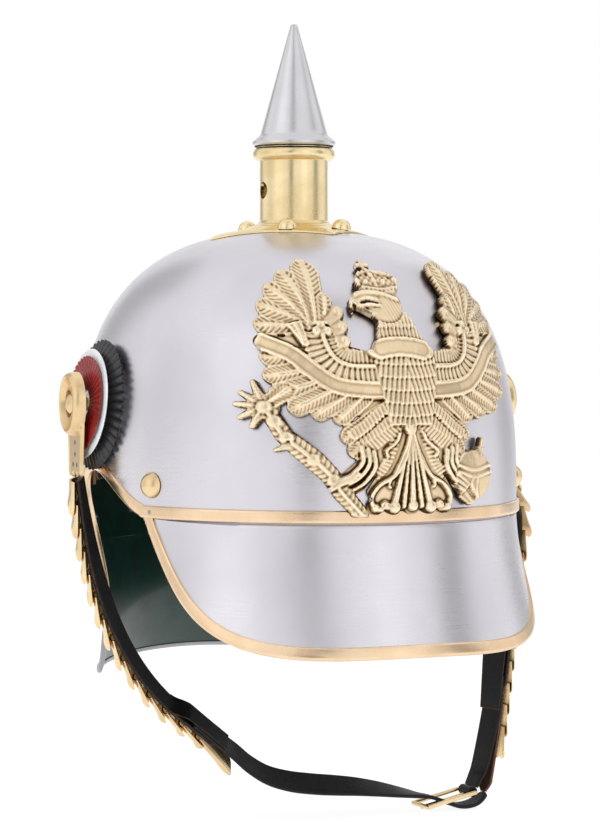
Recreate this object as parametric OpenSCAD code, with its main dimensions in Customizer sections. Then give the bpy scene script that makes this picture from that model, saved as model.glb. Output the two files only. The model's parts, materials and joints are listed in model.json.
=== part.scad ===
// Parade helmet of polished steel with a screwed spike, an eagle plate and hanging chin scales.
// Millimetres, Z up. The front faces -Y and the wearer's right is -X.
// The origin is on the axis of the spike, level with the middle of the front band.

/* [Shell] */
// Height of the crown above the front band
crown_h = 135; // [120:0.5:150]
// Half of the length of the shell at the band
half_len = 127; // [115:0.5:140]
// Half of the width of the shell at the band
half_wid = 105.5; // [95:0.5:118]
// Thickness of the steel sheet
sheet_t = 1.2; // [0.8:0.1:2]
// Fullness of the wall above the band
crown_pow = 2.95; // [2:0.05:4]
// Squareness of the shoulder of the crown
side_pow = 2.65; // [2:0.05:3.5]
// How far the sides draw in behind the ears
side_tuck = 15; // [5:0.5:20]
// How far the nape draws in
nape_tuck = 18; // [8:0.5:24]
// Height at which the nape is narrowest
nape_z = -45; // [-55:1:-35]
// Height of the top of the ear arch
arch_h = 18.3; // [10:0.1:26]
// Height of the lower edge of the shell at the back
lap_z = -22; // [-30:0.5:-15]

/* [Neck guard and visor] */
// Height of the lower edge of the neck guard
guard_z = -87; // [-95:0.5:-70]
// How far the edge of the guard stands out past the band
guard_flare = 3; // [0:0.5:12]
// How much the edge of the guard rises at the back
guard_rise = 3; // [0:0.5:8]
// Radius of the lower front corners of the guard
corner_r = 9; // [4:0.5:14]
// Depth of the visor at its middle
visor_h = 62.8; // [45:0.2:75]
// How far the visor stands out at its edge
visor_out = 12.3; // [6:0.1:25]
// How much further it stands out at its middle
peak_out = 2; // [0:0.5:8]
// Angle from the front to each corner of the visor
visor_corner = 70; // [62:0.5:76]

/* [Trim] */
// Width of the front band
band_w = 6; // [4:0.5:9]
// Thickness of the front band
band_t = 0.8; // [0.5:0.1:1.5]
// Width of the edge binding
bind_w = 5; // [3:0.5:8]
// Thickness of the edge binding
bind_t = 0.7; // [0.4:0.1:1.2]
// Head diameter of the domed rivets
dome_d = 12.5; // [8:0.5:16]
// Head diameter of the small flat rivets
flat_d = 3.5; // [2.5:0.1:5]

/* [Spike] */
// Height of the tip of the spike
tip_z = 238.6; // [200:0.2:280]
// Height of the joint between spike and column
joint_z = 177; // [165:0.5:190]
// Radius of the column
column_r = 17.1; // [12:0.1:22]
// Radius of the bead and of the foot of the spike
bead_r = 20.6; // [17:0.1:26]
// Wall of the column and of the spike
column_wall = 1.5; // [1:0.1:3]
// Radius of the threaded stud
stud_r = 4.9; // [3:0.1:7]
// Rise of the spike in one turn
thread_pitch = 1.5; // [1:0.25:2.5]
// Radius of the vent holes in the column
vent_r = 4.2; // [2:0.1:6]
// Reach of each point of the base plate
base_reach = 46; // [38:0.5:55]
// Thickness of the base plate
base_t = 1.2; // [0.8:0.1:2]
// Head diameter of the studs on the base plate
base_stud_d = 9.6; // [6:0.1:12]

/* [Eagle plate] */
// Thickness of the eagle plate
eagle_t = 1.4; // [0.8:0.1:2.5]
// Space between the plate and the shell
eagle_gap = 1.4; // [0.5:0.1:3]

/* [Sides] */
// Distance of the side posts behind the spike axis
post_y = 3; // [-8:0.5:12]
// Height of the side posts
post_z = 50; // [40:0.5:60]
// Radius of the side posts
post_r = 3.6; // [2.5:0.1:5]
// Outer radius of the cockades
cockade_r = 32; // [24:0.5:38]
// Outer radius of the white ring
white_r = 27.3; // [20:0.1:32]
// Radius of the heart of the cockade
heart_r = 22.9; // [16:0.1:26]
// Distance from the side of the shell to the outer face of the rosettes
rosette_out = 14.5; // [12.5:0.5:22.5]
// Radius of the round head of the rosettes
rosette_r = 15.5; // [12:0.5:20]
// Depth of the rosettes
rosette_t = 6; // [4:0.5:9]

/* [Chin scales and straps] */
// Number of scales in each chain, with the end tongue
scale_count = 14; // [10:1:14]
// Distance from one scale to the next
scale_step = 11.3; // [9:0.1:13]
// Width of the top scale
scale_w = 25; // [20:0.5:30]
// Width of the last scale
scale_end_w = 12.5; // [9:0.5:18]
// Thickness of the scales
scale_t = 0.8; // [0.5:0.1:1.2]
// Thickness of the leather backing
backing_t = 2; // [1.5:0.1:3]
// Width of the chin strap
strap_w = 12.5; // [9:0.5:16]
// Thickness of the chin strap
strap_t = 1.8; // [1.2:0.1:2.5]
// Wire diameter of the buckle
wire_d = 2.2; // [1.6:0.1:3]
// Length of the buckle
buckle_l = 30; // [24:0.5:36]

/* [Liner] */
// Thickness of the liner leather
liner_t = 2; // [1.2:0.1:3]
// Height of the top of the sweatband
liner_top = 36; // [30:1:45]
// Height of the bottom of the sweatband
liner_low = 8; // [4:1:14]
// Number of leather tongues
tongue_count = 8; // [6:1:10]

/* [Hidden] */
$fn = 48;
fit = 0.1;
running = 0.06;
bind_slack = 0.35;
flange_slack = 0.4;
lap = 0.15;
seat = 0.3;
band_half = band_w / 2;
front_low = -band_half + 0.4;
visor_top = front_low - 0.2;
flange_h = 9;
ear_mid = 92;
arch_from = 67;
arch_to = 109.5;
arch_drop = arch_h - lap_z;
tuck_top = 40;
shoulder_z = 56;
pole_angle = 85;
brass_end_z = -52;
guard_top = 2;
dome_phi = [67, 125];
dome_z = 12.7;
flat_phi = visor_corner - 3;
lap_rivet_z = -9;
lap_rivet_phi = [122, 151, 180];
base_hole_r = 15;
crown_hole_r = 9;
base_stud_reach = 27.9;
base_stud_inset = 5.42;
base_stud_turn = 45 + acos(min(1, (base_reach / sqrt(2) - base_stud_inset) / base_stud_reach));
plate_top = crown_h + base_t + 0.2;
foot_z = plate_top - 0.25;
spike_travel = 6 * thread_pitch;
socket_h = spike_travel + 5;
socket_r = stud_r + 3.2;
washer_t = 0.6;
cone_z = joint_z + washer_t;
wall_hole = 0.15;
eagle_post_at = [[-24, 88], [24, 88], [0, 43]];
cockade_tilt = 6;
rosette_x = half_wid + rosette_out;
cockade_x = rosette_x - rosette_t - 4.7;
screw_r = 4.6;
scale_sag = 3;
scale_len = scale_step + 5.5;
scale_lean = 8.5;
rosette_tail = 34;
rosette_end_w = 21;
chain_z = post_z - rosette_tail + 2 - rosette_end_w / 5.8 - 0.4;
hide_gap = 0.3;
strap_free_in = 89;
buckle_in = 33.5;
buckle_mid = [rosette_x - buckle_in, post_y, -154.5];
buckle_turn = 12;
buckle_w = strap_w + 2 * wire_d + 2;
bar_at = buckle_l / 2 - wire_d / 2;
tongue_len = buckle_l - wire_d;

STEEL = [0.76, 0.75, 0.78];
BRASS = [0.86, 0.68, 0.38];
PALE_BRASS = [0.93, 0.78, 0.55];
GREEN = [0.07, 0.13, 0.1];
LEATHER = [0.08, 0.07, 0.07];
BROWN = [0.3, 0.17, 0.1];
BLACK = [0.05, 0.05, 0.06];
WHITE = [0.93, 0.93, 0.95];
RED = [0.55, 0.06, 0.06];

// Small helpers

function unit(v) = v / norm(v);

// Smooth step from 0 to 1
function ramp(t) = let (c = min(1, max(0, t))) c * c * (3 - 2 * c);

function mix(a, b, t) = a + (b - a) * t;

function sum(v) = v * [for (x = v) 1];

function six_volume(pts, tri) = sum([for (f = tri) cross(pts[f[0]], pts[f[1]]) * pts[f[2]]]);

// Closed solid whose triangles are turned to face outwards
module closed_solid(pts, tri) {
    outward = six_volume(pts, tri) > 0;
    polyhedron(pts, outward ? [for (f = tri) [f[2], f[1], f[0]]] : tri);
}

function flat_list(rows) = [for (row = rows) each row];

// Triangles between two neighbouring lists of m points that start at indices a and b
function strip(a, b, m) =
    [for (j = [0:m - 2]) each [[a + j, b + j, b + j + 1], [a + j, b + j + 1, a + j + 1]]];

// The same triangles turned over, with their points k further on
function turned(tri, k) = [for (t = tri) [t[2] + k, t[1] + k, t[0] + k]];

// Triangles that join the borders of two sheets in a closed ring of n columns of m points
function rim(n, m, k) = [for (i = [0:n - 1]) let (a = i * m, b = (i + 1) % n * m)
    each [[a, a + k, b], [a + k, b + k, b]]];

// Sheet with an outer and an inner grid of points, columns along the first index
module sheet(outer, inner) {
    n = len(outer);
    m = len(outer[0]);
    k = n * m;
    face = [for (i = [0:n - 2]) each strip(i * m, (i + 1) * m, m)];
    back = turned(face, k);
    low = [for (i = [0:n - 2]) let (a = i * m, b = a + m) each [[a, a + k, b], [a + k, b + k, b]]];
    top = [for (i = [0:n - 2]) let (a = i * m + m - 1, b = a + m) each [[a, b, a + k], [a + k, b, b + k]]];
    first = [for (j = [0:m - 2]) each [[j, j + 1, j + k], [j + 1, j + 1 + k, j + k]]];
    z = (n - 1) * m;
    last = [for (j = [0:m - 2]) each [[z + j, z + j + k, z + j + 1], [z + j + 1, z + j + k, z + j + 1 + k]]];
    closed_solid(concat(flat_list(outer), flat_list(inner)), concat(face, back, low, top, first, last));
}

// Ring-shaped sheet whose columns close on themselves, open below and above
module ring_sheet(outer, inner) {
    n = len(outer);
    m = len(outer[0]);
    k = n * m;
    e = m - 1;
    face = [for (i = [0:n - 1]) each strip(i * m, (i + 1) % n * m, m)];
    back = turned(face, k);
    top = [for (t = rim(n, m, k)) [t[2] + e, t[1] + e, t[0] + e]];
    closed_solid(concat(flat_list(outer), flat_list(inner)), concat(face, back, rim(n, m, k), top));
}

// Dome-shaped sheet: its columns close on themselves and meet in a pole above
module dome_sheet(outer, inner, outer_pole, inner_pole) {
    n = len(outer);
    m = len(outer[0]);
    k = n * m;
    e = m - 1;
    p = 2 * k;
    face = concat([for (i = [0:n - 1]) each strip(i * m, (i + 1) % n * m, m)],
        [for (i = [0:n - 1]) [i * m + e, (i + 1) % n * m + e, p]]);
    inside = concat([for (i = [0:n - 1]) each turned(strip(i * m, (i + 1) % n * m, m), k)],
        [for (i = [0:n - 1]) [(i + 1) % n * m + e + k, i * m + e + k, p + 1]]);
    pts = concat(flat_list(outer), flat_list(inner), [outer_pole, inner_pole]);
    closed_solid(pts, concat(face, inside, rim(n, m, k)));
}

// Solid swept through rings of points, with flat ends cut by a fan from the listed corners
module swept(rings, cap) {
    n = len(rings);
    m = len(rings[0]);
    side = [for (i = [0:n - 2]) for (j = [0:m - 1]) let (a = i * m, b = (i + 1) * m, q = (j + 1) % m)
        each [[a + j, b + j, b + q], [a + j, b + q, a + q]]];
    first = [for (t = cap) [t[0], t[1], t[2]]];
    last = [for (t = cap) [t[2], t[1], t[0]] + [1, 1, 1] * (n - 1) * m];
    closed_solid(flat_list(rings), concat(side, first, last));
}

// The steel shell

function fold(phi) = abs(phi > 180 ? phi - 360 : phi);

function rear(phi) = ramp((fold(phi) - 72) / 40);

// Share of the full width that is left at height z
function girth(z) = z <= 0 ? 1 : pow(max(0, 1 - pow(min(z, crown_h) / crown_h, crown_pow)), 1 / side_pow);

function side_in(z) = side_tuck * ramp((tuck_top - z) / 100);

function nape_in(z) = nape_tuck * ramp((tuck_top - 5 - z) / 85)
    - (nape_tuck + guard_flare) * pow(min(1, max(0, (nape_z - z) / (nape_z - guard_z))), 1.8);

// Point on the outer face of the shell, phi from the front towards the wearer's left
function wall(phi, z) = let (g = girth(z), r = rear(phi))
    [(half_wid * g - r * side_in(z)) * sin(phi), -(half_len * g - r * nape_in(z)) * cos(phi), z];

function wall_n(phi, z) =
    unit(cross(wall(phi + 0.5, z) - wall(phi - 0.5, z), wall(phi, z) - wall(phi, z - 0.05)));

function lift(phi, z, off) = wall(phi, z) + off * wall_n(phi, z);

// Lower edge of the shell: straight in front, an arch over the ear, straight again behind
function edge_z(phi) = let (p = fold(phi))
    p < ear_mid ? front_low + (arch_h - front_low) * ramp((p - arch_from) / (ear_mid - arch_from))
    : p < arch_to ? arch_h - arch_drop * (1 - sqrt(1 - pow((p - ear_mid) / (arch_to - ear_mid), 2)))
    : lap_z;

// Front edge of the neck guard at height z
function guard_phi(z) = z > lap_z
    ? ear_mid + (arch_to - ear_mid) * sqrt(max(0, 1 - pow((z - lap_z) / arch_drop, 2)))
    : arch_to + (lap_z - z) * 0.02
        + corner_deg * (1 - sqrt(max(0, 1 - pow(max(0, guard_z + corner_r - z) / corner_r, 2))));
corner_deg = corner_r / (half_wid - side_tuck) * 57.3;

// The guard's edge rises a little towards the back
function guard_h(phi, z) =
    z + guard_rise * ramp((fold(phi) - 119) / 61) * min(1, max(0, (z + 40) / (guard_z + 40)));

half_cols = concat([for (i = [0:13]) visor_corner * i / 14],
    [for (i = [0:6]) mix(visor_corner, ear_mid, i / 6)],
    [for (a = [10:10:90]) ear_mid + (arch_to - ear_mid) * sin(a)],
    [for (i = [1:9]) mix(arch_to, 180, i / 10)]);
all_cols = concat(half_cols, [180], [for (i = [len(half_cols) - 1:-1:1]) 360 - half_cols[i]]);
shoulder_angle = asin(pow(shoulder_z / crown_h, crown_pow / 2));

function shell_rows(phi) = let (low = edge_z(phi)) concat([for (j = [0:6]) mix(low, shoulder_z, j / 6)],
    [for (j = [1:9]) crown_h * pow(sin(mix(shoulder_angle, pole_angle, j / 9)), 2 / crown_pow)]);

// Hole or rod square to the shell at a place on it, from depth a to depth b along the outward direction
module at_wall(phi, z) {
    d = wall_n(phi, z);
    translate(wall(phi, z)) rotate([0, acos(d[2]), atan2(d[1], d[0])]) children();
}

module wall_rod(phi, z, r, a, b) {
    at_wall(phi, z) translate([0, 0, a]) cylinder(r = r, h = b - a, $fn = 24);
}

module both_sides() {
    children();
    mirror([1, 0, 0]) children();
}

// Angle on the shell of a point x to the left at height z, found by four steps
function phi_at(x, z, p = 0, k = 0) =
    k > 5 ? p : phi_at(x, z, p + (x - wall(p, z)[0]) / half_wid * 60, k + 1);

module skull() {
    color(STEEL)
    difference() {
        dome_sheet([for (p = all_cols) [for (z = shell_rows(p)) wall(p, z)]],
            [for (p = all_cols) [for (z = shell_rows(p)) lift(p, z, -sheet_t)]],
            [0, 0, crown_h], [0, 0, crown_h - sheet_t]);
        translate([0, 0, crown_h - 6]) cylinder(r = crown_hole_r, h = 12);
        base_stud_places() translate([0, 0, -14]) cylinder(r = base_stud_hole(), h = 20, $fn = 24);
        both_sides() {
            for (p = dome_phi) wall_rod(p, dome_z, 1.5 + wall_hole, -5, 5);
            along_x(half_wid - 14) cylinder(r = post_r + wall_hole, h = 24);
            wall_rod(flat_phi, 0, 1 + wall_hole, -5, 5);
            for (p = lap_rivet_phi) wall_rod(p, lap_rivet_z, 1.2 + wall_hole, -5, 5);
        }
        for (e = eagle_post_at) wall_rod(phi_at(e[0], e[1]), e[1], 1.2 + wall_hole, -5, 5);
    }
}

// Distance of the visor's face from the shell and its depth, q from 0 at the middle to 1 at the corner
function visor_reach(q) = visor_out * pow(1 - pow(q, 6), 3) + peak_out * pow(1 - q * q, 2);
function visor_depth(q) = (visor_h + 0.28 * visor_h * q * q) * (1 - pow(q, 3.5));

// Point on the outer face of the visor, s from 0 at the band to 1 at the edge
function brim(phi, s) = let (q = min(1, abs(phi) / visor_corner), w = wall(phi, 0),
    out = unit([sin(phi) / half_wid, -cos(phi) / half_len, 0]),
    low = -max(visor_depth(q), 4.4 - visor_top / 2))
    [w[0], w[1], mix(visor_top, low, s)] + out * (visor_reach(q) * pow(s, 1.5) - 0.2);

function brim_n(phi, s) =
    unit(cross(brim(phi + 0.4, s) - brim(phi - 0.4, s), brim(phi, s - 0.02) - brim(phi, s + 0.02)));

visor_end = visor_corner - 0.8;
trim_end = visor_corner - 2.3;
visor_cols = [for (i = [-20:20]) visor_end * sin(90 * i / 20 * 0.94) / sin(84.6)];
visor_rows = [0.04, 0.2, 0.4, 0.6, 0.8, 0.92, 1];

module visor() {
    set = sheet_t + flange_slack;
    color(STEEL)
    difference() {
        sheet([for (p = visor_cols) concat([lift(p, visor_top + flange_h, -set), lift(p, visor_top, -set)],
                [for (s = visor_rows) brim(p, s)])],
            [for (p = visor_cols) concat([lift(p, visor_top + flange_h, -set - sheet_t)],
                [lift(p, visor_top - 0.8, -set - sheet_t)],
                [for (s = visor_rows) brim(p, s) - sheet_t * brim_n(p, s)])]);
        both_sides() wall_rod(flat_phi, 0, 1 + wall_hole, -6, 5);
    }
}

guard_rows = concat([for (j = [0:3]) mix(guard_top, lap_z, j / 4)],
    [for (j = [0:5]) mix(lap_z, guard_z + corner_r, j / 5)],
    [for (a = [22.5, 45, 67.5, 90]) guard_z + corner_r - corner_r * sin(a)]);

function guard_point(t, z, off) = let (a = guard_phi(z), p = mix(a, 360 - a, t)) lift(p, guard_h(p, z), off);

module neck_guard() {
    cols = [for (i = [0:44]) i / 44];
    color(STEEL)
    difference() {
        sheet([for (t = cols) [for (z = guard_rows) guard_point(t, z, lap + sheet_t)]],
            [for (t = cols) [for (z = guard_rows) guard_point(t, z, lap)]]);
        both_sides() for (p = lap_rivet_phi) wall_rod(p, lap_rivet_z, 1.2 + wall_hole, -5, 5);
    }
}

// Edge bindings

// Channel section as [distance into the sheet, distance outwards], over a sheet from level a to level b
function channel(a, b) = let (lo = a - bind_slack, hi = b + bind_slack, e = -bind_slack)
    [[bind_w, hi], [bind_w, hi + bind_t], [e - bind_t, hi + bind_t], [e - bind_t, lo - bind_t],
    [bind_w, lo - bind_t], [bind_w, lo], [e, lo], [e, hi]];
channel_cap = [[0, 1, 2], [0, 2, 7], [7, 2, 3], [7, 3, 6], [6, 3, 4], [6, 4, 5]];

// Point of the shell's wall beside the point q, where phi is roughly its angle
function on_wall(q, phi) = let (g = girth(q[2]), r = rear(phi))
    wall(atan2(q[0] / (half_wid * g - r * side_in(q[2])), -q[1] / (half_len * g - r * nape_in(q[2]))), q[2]);

// Rings of the binding along an edge of [point, outward direction, low level, high level, angle on the wall]
function bind_rings(edge) = [for (i = [0:len(edge) - 1])
    let (e = edge[i], t = edge[min(i + 1, len(edge) - 1)][0] - edge[max(i - 1, 0)][0],
        q = e[0] + bind_w * cross(e[1], unit(t)),
        in_dir = unit((len(e) > 4 ? on_wall(q, e[4]) : q) - e[0]), n = unit(cross(unit(t), in_dir)))
    [for (c = channel(e[2], e[3])) e[0] + c[0] * in_dir + c[1] * n]];

module visor_trim() {
    cols = [for (i = [-28:28]) trim_end * sin(90 * i / 28 * 0.94) / sin(84.6)];
    color(PALE_BRASS)
    swept(bind_rings([for (p = cols) [brim(p, 1), brim_n(p, 0.97), -sheet_t, 0]]), channel_cap);
}

// Places along the ear opening as [phi, z], from the visor corner over the ear and down the guard
ear_arch = concat([for (i = [0:9]) let (p = mix(visor_corner + 1.5, ear_mid, i / 9)) [p, edge_z(p)]],
    [for (a = [10:10:90]) [ear_mid + (arch_to - ear_mid) * sin(a), lap_z + arch_drop * cos(a)]],
    [for (i = [1:4]) let (z = mix(lap_z, brass_end_z, i / 4)) [guard_phi(z), z]]);

// High level of the sheet under the binding: the guard lies over the shell behind the ear
function guard_level(z) = mix(0, lap + sheet_t, ramp((arch_h - 2 - z) / (arch_h - 4 - guard_top)));

module ear_trim_left() {
    color(PALE_BRASS)
    swept(bind_rings([for (e = ear_arch) let (z = e[0] < ear_mid ? arch_h : e[1])
        [wall(e[0], e[1]), wall_n(e[0], e[1]), -sheet_t, guard_level(z), e[0]]]), channel_cap);
}

module ear_trim_right() {
    mirror([1, 0, 0]) ear_trim_left();
}

hem_side = concat(
    [for (i = [0:3]) let (z = mix(brass_end_z - 0.8, guard_z + corner_r, i / 3)) [guard_phi(z), z]],
    [for (a = [22.5, 45, 67.5, 90]) let (z = guard_z + corner_r * (1 - sin(a))) [guard_phi(z), z]]);
hem_start = guard_phi(guard_z);
hem_path = concat(hem_side, [for (i = [1:43]) [mix(hem_start, 360 - hem_start, i / 44), guard_z]],
    [for (i = [len(hem_side) - 1:-1:0]) [360 - hem_side[i][0], hem_side[i][1]]]);

module guard_hem() {
    color(STEEL)
    swept(bind_rings([for (e = hem_path) let (z = guard_h(e[0], e[1]))
        [wall(e[0], z), wall_n(e[0], z), lap, lap + sheet_t, e[0]]]), channel_cap);
}

module front_band() {
    end = visor_corner + 0.2;
    cols = [for (i = [-22:22]) end * i / 22];
    lo = lap;
    hi = lap + band_t;
    color(PALE_BRASS)
    difference() {
        swept([for (p = cols) [lift(p, -band_half, lo), lift(p, -band_half, hi), lift(p, band_half, hi),
            lift(p, band_half, lo)]], [[0, 1, 2], [0, 2, 3]]);
        both_sides() wall_rod(flat_phi, 0, 1 + wall_hole, -2, 5);
    }
}

// Rivets

module rivet(head_d, head_h, shank_r, a, b) {
    ball = (head_d * head_d / 4 + head_h * head_h) / (2 * head_h);
    translate([0, 0, a]) cylinder(r = shank_r, h = b - a, $fn = 24);
    translate([0, 0, b]) intersection() {
        translate([0, 0, head_h - ball]) sphere(r = ball);
        cylinder(d = head_d, h = head_h + 1);
    }
}

module flat_rivets() {
    color(STEEL) both_sides() at_wall(flat_phi, 0)
        rivet(flat_d, 0.5, 1, -sheet_t * 2 - flange_slack - 0.8, lap + band_t + 0.1);
}

module dome_rivets() {
    color(BRASS) both_sides() for (p = dome_phi) at_wall(p, dome_z)
        rivet(dome_d, 4.6, 1.5, -rivet_depth, 0.25);
}

module rivet_washers() {
    color(BRASS) both_sides() for (p = dome_phi) at_wall(p, dome_z) translate([0, 0, -rivet_depth + 0.2])
        difference() {
            cylinder(r = 4, h = 0.7);
            translate([0, 0, -1]) cylinder(r = 1.5 + fit / 2, h = 3, $fn = 24);
        }
}

module lap_rivets() {
    back_phi = [for (p = lap_rivet_phi) if (p < 180) 360 - p];
    color(STEEL) for (p = concat(lap_rivet_phi, back_phi)) at_wall(p, lap_rivet_z)
        rivet(5, 1.2, 1.2, -sheet_t - 0.8, lap + sheet_t + 0.25);
}

// The spike and its base

function crown_z(x, y) = crown_h * pow(1 - pow(norm([x / half_wid, y / half_len]), side_pow), 1 / crown_pow);

module crown_patch(a, b, reach) {
    rows = [for (i = [0:7]) 90 - reach + (pole_angle - 90 + reach) * i / 7];
    heights = [for (t = rows) crown_h * pow(sin(t), 2 / crown_pow)];
    cols = [for (i = [0:47]) 7.5 * i];
    dome_sheet([for (p = cols) [for (z = heights) lift(p, z, b)]],
        [for (p = cols) [for (z = heights) lift(p, z, a)]], [0, 0, crown_h + b], [0, 0, crown_h + a]);
}

// Four points joined by edges that are drawn in a little
module base_outline() {
    side_r = base_reach * 4;
    difference() {
        circle(r = base_reach, $fn = 4);
        for (a = [45:90:315]) rotate(a) translate([side_r + base_reach * 0.68, 0])
            circle(r = side_r, $fn = 120);
    }
}

module base_stud_places() {
    for (s = [[1, 1], [1, -1], [-1, 1], [-1, -1]]) {
        x = s[0] * base_stud_reach * cos(base_stud_turn);
        y = s[1] * base_stud_reach * sin(base_stud_turn);
        translate([x, y, crown_z(x, y)]) rotate([-s[1] * 6.6, s[0] * 5.8, 0]) children();
    }
}

function base_stud_hole() = 1.8 + wall_hole;

module spike_base() {
    color(BRASS)
    difference() {
        intersection() {
            crown_patch(0.2, 0.2 + base_t, base_reach + 10);
            translate([0, 0, crown_h - 40]) linear_extrude(60) base_outline();
        }
        translate([0, 0, crown_h - 20]) cylinder(r = base_hole_r, h = 40);
        base_stud_places() translate([0, 0, -10]) cylinder(r = base_stud_hole(), h = 20, $fn = 24);
    }
}

module base_studs() {
    color(BRASS) base_stud_places() rivet(base_stud_d, 5, 1.8, -9, base_t + 0.5);
}

module base_nuts() {
    color(STEEL) base_stud_places() translate([0, 0, -sheet_t - 3.6]) difference() {
        cylinder(r = 4.4, h = 2.6, $fn = 6);
        translate([0, 0, -1]) cylinder(r = 1.8 + fit / 2, h = 6, $fn = 24);
    }
}

module spike_column() {
    inner = column_r - column_wall;
    top_in = socket_r + fit / 2;
    color(BRASS)
    difference() {
        rotate_extrude($fn = 96) union() {
            polygon([[inner, foot_z], [bead_r - 0.4, foot_z], [bead_r - 0.4, foot_z + 1.4],
                [bead_r - 1.2, foot_z + 2], [column_r + 1.2, foot_z + 2.6], [column_r, foot_z + 4],
                [column_r, joint_z - 7], [column_r + 1.4, joint_z - 6.6], [column_r + 1.4, joint_z],
                [top_in, joint_z], [top_in, joint_z - 8], [inner, joint_z - 11]]);
            translate([column_r, joint_z - 3.5]) circle(r = 3.5);
        }
        for (s = [-1, 1]) translate([0, 0, foot_z + 19]) rotate([0, 90 * s, 0])
            cylinder(r = vent_r, h = column_r + 5);
        translate([0, 0, joint_z]) cylinder(r = column_r + 9, h = 5);
    }
}

module spike_socket() {
    color(BRASS) translate([0, 0, joint_z - socket_h]) difference() {
        union() {
            cylinder(r = socket_r, h = socket_h - 0.1);
            cylinder(r = socket_r + 3, h = socket_h - 9.8, $fn = 6);
        }
        translate([0, 0, -1]) cylinder(r = stud_r + fit / 2, h = socket_h + 2);
    }
}

module spike_washer() {
    color(BLACK) translate([0, 0, joint_z + 0.05]) difference() {
        cylinder(r = bead_r - 0.9, h = washer_t - 0.1, $fn = 96);
        translate([0, 0, -1]) cylinder(r = stud_r + 0.3, h = 4);
    }
}

module spike_cone() {
    neck_z = cone_z + 7;
    neck_r = bead_r - 4.2;
    tip_r = 2;
    slope = atan2(neck_r - tip_r, tip_z - tip_r - neck_z);
    color(STEEL)
    difference() {
        rotate_extrude($fn = 96) union() {
            polygon([[0, cone_z], [bead_r - 0.8, cone_z], [bead_r + 0.2, cone_z + 0.8],
                [bead_r + 0.1, cone_z + 2], [bead_r - 1.4, cone_z + 3.4], [bead_r - 2.8, cone_z + 4.6],
                [neck_r + 0.5, cone_z + 5.6], [neck_r, neck_z],
                [tip_r * cos(slope), tip_z - tip_r + tip_r * sin(slope)], [0, tip_z - tip_r]]);
            intersection() {
                translate([0, tip_z - tip_r]) circle(r = tip_r);
                translate([0, tip_z - tip_r]) square([tip_r, tip_r]);
            }
        }
        translate([0, 0, cone_z + 4.5])
            cylinder(r1 = neck_r - column_wall, r2 = 0.6, h = tip_z - cone_z - 14);
        translate([0, 0, cone_z - 1]) cylinder(r = stud_r + fit / 4, h = 7);
    }
}

module spike_stud() {
    color(STEEL) {
        translate([0, 0, joint_z - socket_h + 1]) cylinder(r = stud_r, h = socket_h + washer_t + 3.5);
        translate([0, 0, cone_z + 4.55]) cylinder(r = stud_r + 3, h = 3);
    }
}

// The eagle plate

// Feather with a round tip, from a to b
module plume(a, b, w0, w1) {
    d = unit(b - a);
    s = [-d[1], d[0]];
    polygon([a + s * w0 / 2, a - s * w0 / 2, b - s * w1 / 2, b + s * w1 / 2]);
    translate(b) circle(d = w1, $fn = 24);
}

// Shape drawn on the left half, or its mirror image with the points in the opposite order
module half_shape(side, pts) {
    n = len(pts) - 1;
    polygon([for (i = [0:n]) side > 0 ? pts[i] : [-pts[n - i][0], pts[n - i][1]]]);
}

// Feathers of a wing as [root x, root y, tip x, tip y, width at the root, width at the tip]
wing_plumes = [[33, 86, 30.5, 112, 9, 9], [35, 88, 41.5, 109, 8, 10], [37, 87, 51, 102.5, 8, 11],
    [37, 86, 57, 93, 8, 11], [36, 85, 60, 82.5, 8, 9], [32, 92, 27.5, 101, 8, 10], [32, 90, 25.5, 92.5, 8, 8],
    [30, 86, 25.5, 84.5, 8, 7], [30, 72, 58, 73.5, 10, 9], [30, 70, 58, 65, 10, 9], [30, 66, 56.5, 57, 10, 9],
    [28, 62, 50, 50.5, 10, 9], [24, 60, 41, 48.5, 10, 9], [20, 58, 32, 46.5, 10, 9], [8, 50, 29, 37.5, 12, 9],
    [8, 46, 26, 31, 12, 9]];

module wing_and_leg(side) {
    half_shape(side, [[12, 46], [34, 47], [50, 52], [59, 62], [58, 78], [50, 84], [38, 92], [28, 90],
        [24, 80], [17, 76], [8, 80]]);
    for (p = wing_plumes) plume([side * p[0], p[1]], [side * p[2], p[3]], p[4], p[5]);
    half_shape(side, [[18, 28], [24, 22], [20, 12], [26, 10], [32, 22], [30, 34], [14, 40]]);
}

module body_outline() {
    polygon([[-12, 84], [-17, 75], [-15, 60], [-11, 43], [11, 43], [15, 60], [17, 75], [9, 84], [5, 94],
        [-10, 94]]);
    translate([-5, 97]) circle(r = 9);
    polygon([[-10, 103], [-20.5, 101], [-22, 97], [-19.5, 93.5], [-18, 96.5], [-10, 92]]);
    polygon([[-13, 102.5], [4, 102.5], [6.5, 108], [1, 111.5], [-6, 112.5], [-13, 111.5], [-16, 107.5]]);
    translate([-8, 114.5]) square([3, 7], center = true);
    translate([-8, 115.5]) square([7, 2.6], center = true);
}

module tail_outline() {
    polygon([[-14, 24], [-22, 12], [-19, 3.5], [19, 3.5], [22, 12], [14, 24], [9, 45], [-9, 45]]);
    for (x = [-18, -9.3, 0, 9.3, 18]) translate([x, 5]) circle(r = 4, $fn = 24);
}

module eagle_outline() {
    wing_and_leg(1);
    wing_and_leg(-1);
    body_outline();
    tail_outline();
    plume([-24, 3.5], [-65, 50], 7.5, 7);
    plume([-20, 10], [-44, 18], 6, 7);
    for (a = [-30, 10, 50, 90, 130]) plume([-64, 51], [-64, 52] + 13 * [-sin(a), cos(a)], 7, 4);
    plume([-52, 34], [-58, 31], 5, 3);
    translate([35, 18]) circle(r = 12);
    plume([29, 11], [33, 7], 8, 6);
    plume([39, 27], [41.5, 34], 4, 3.5);
}

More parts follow.
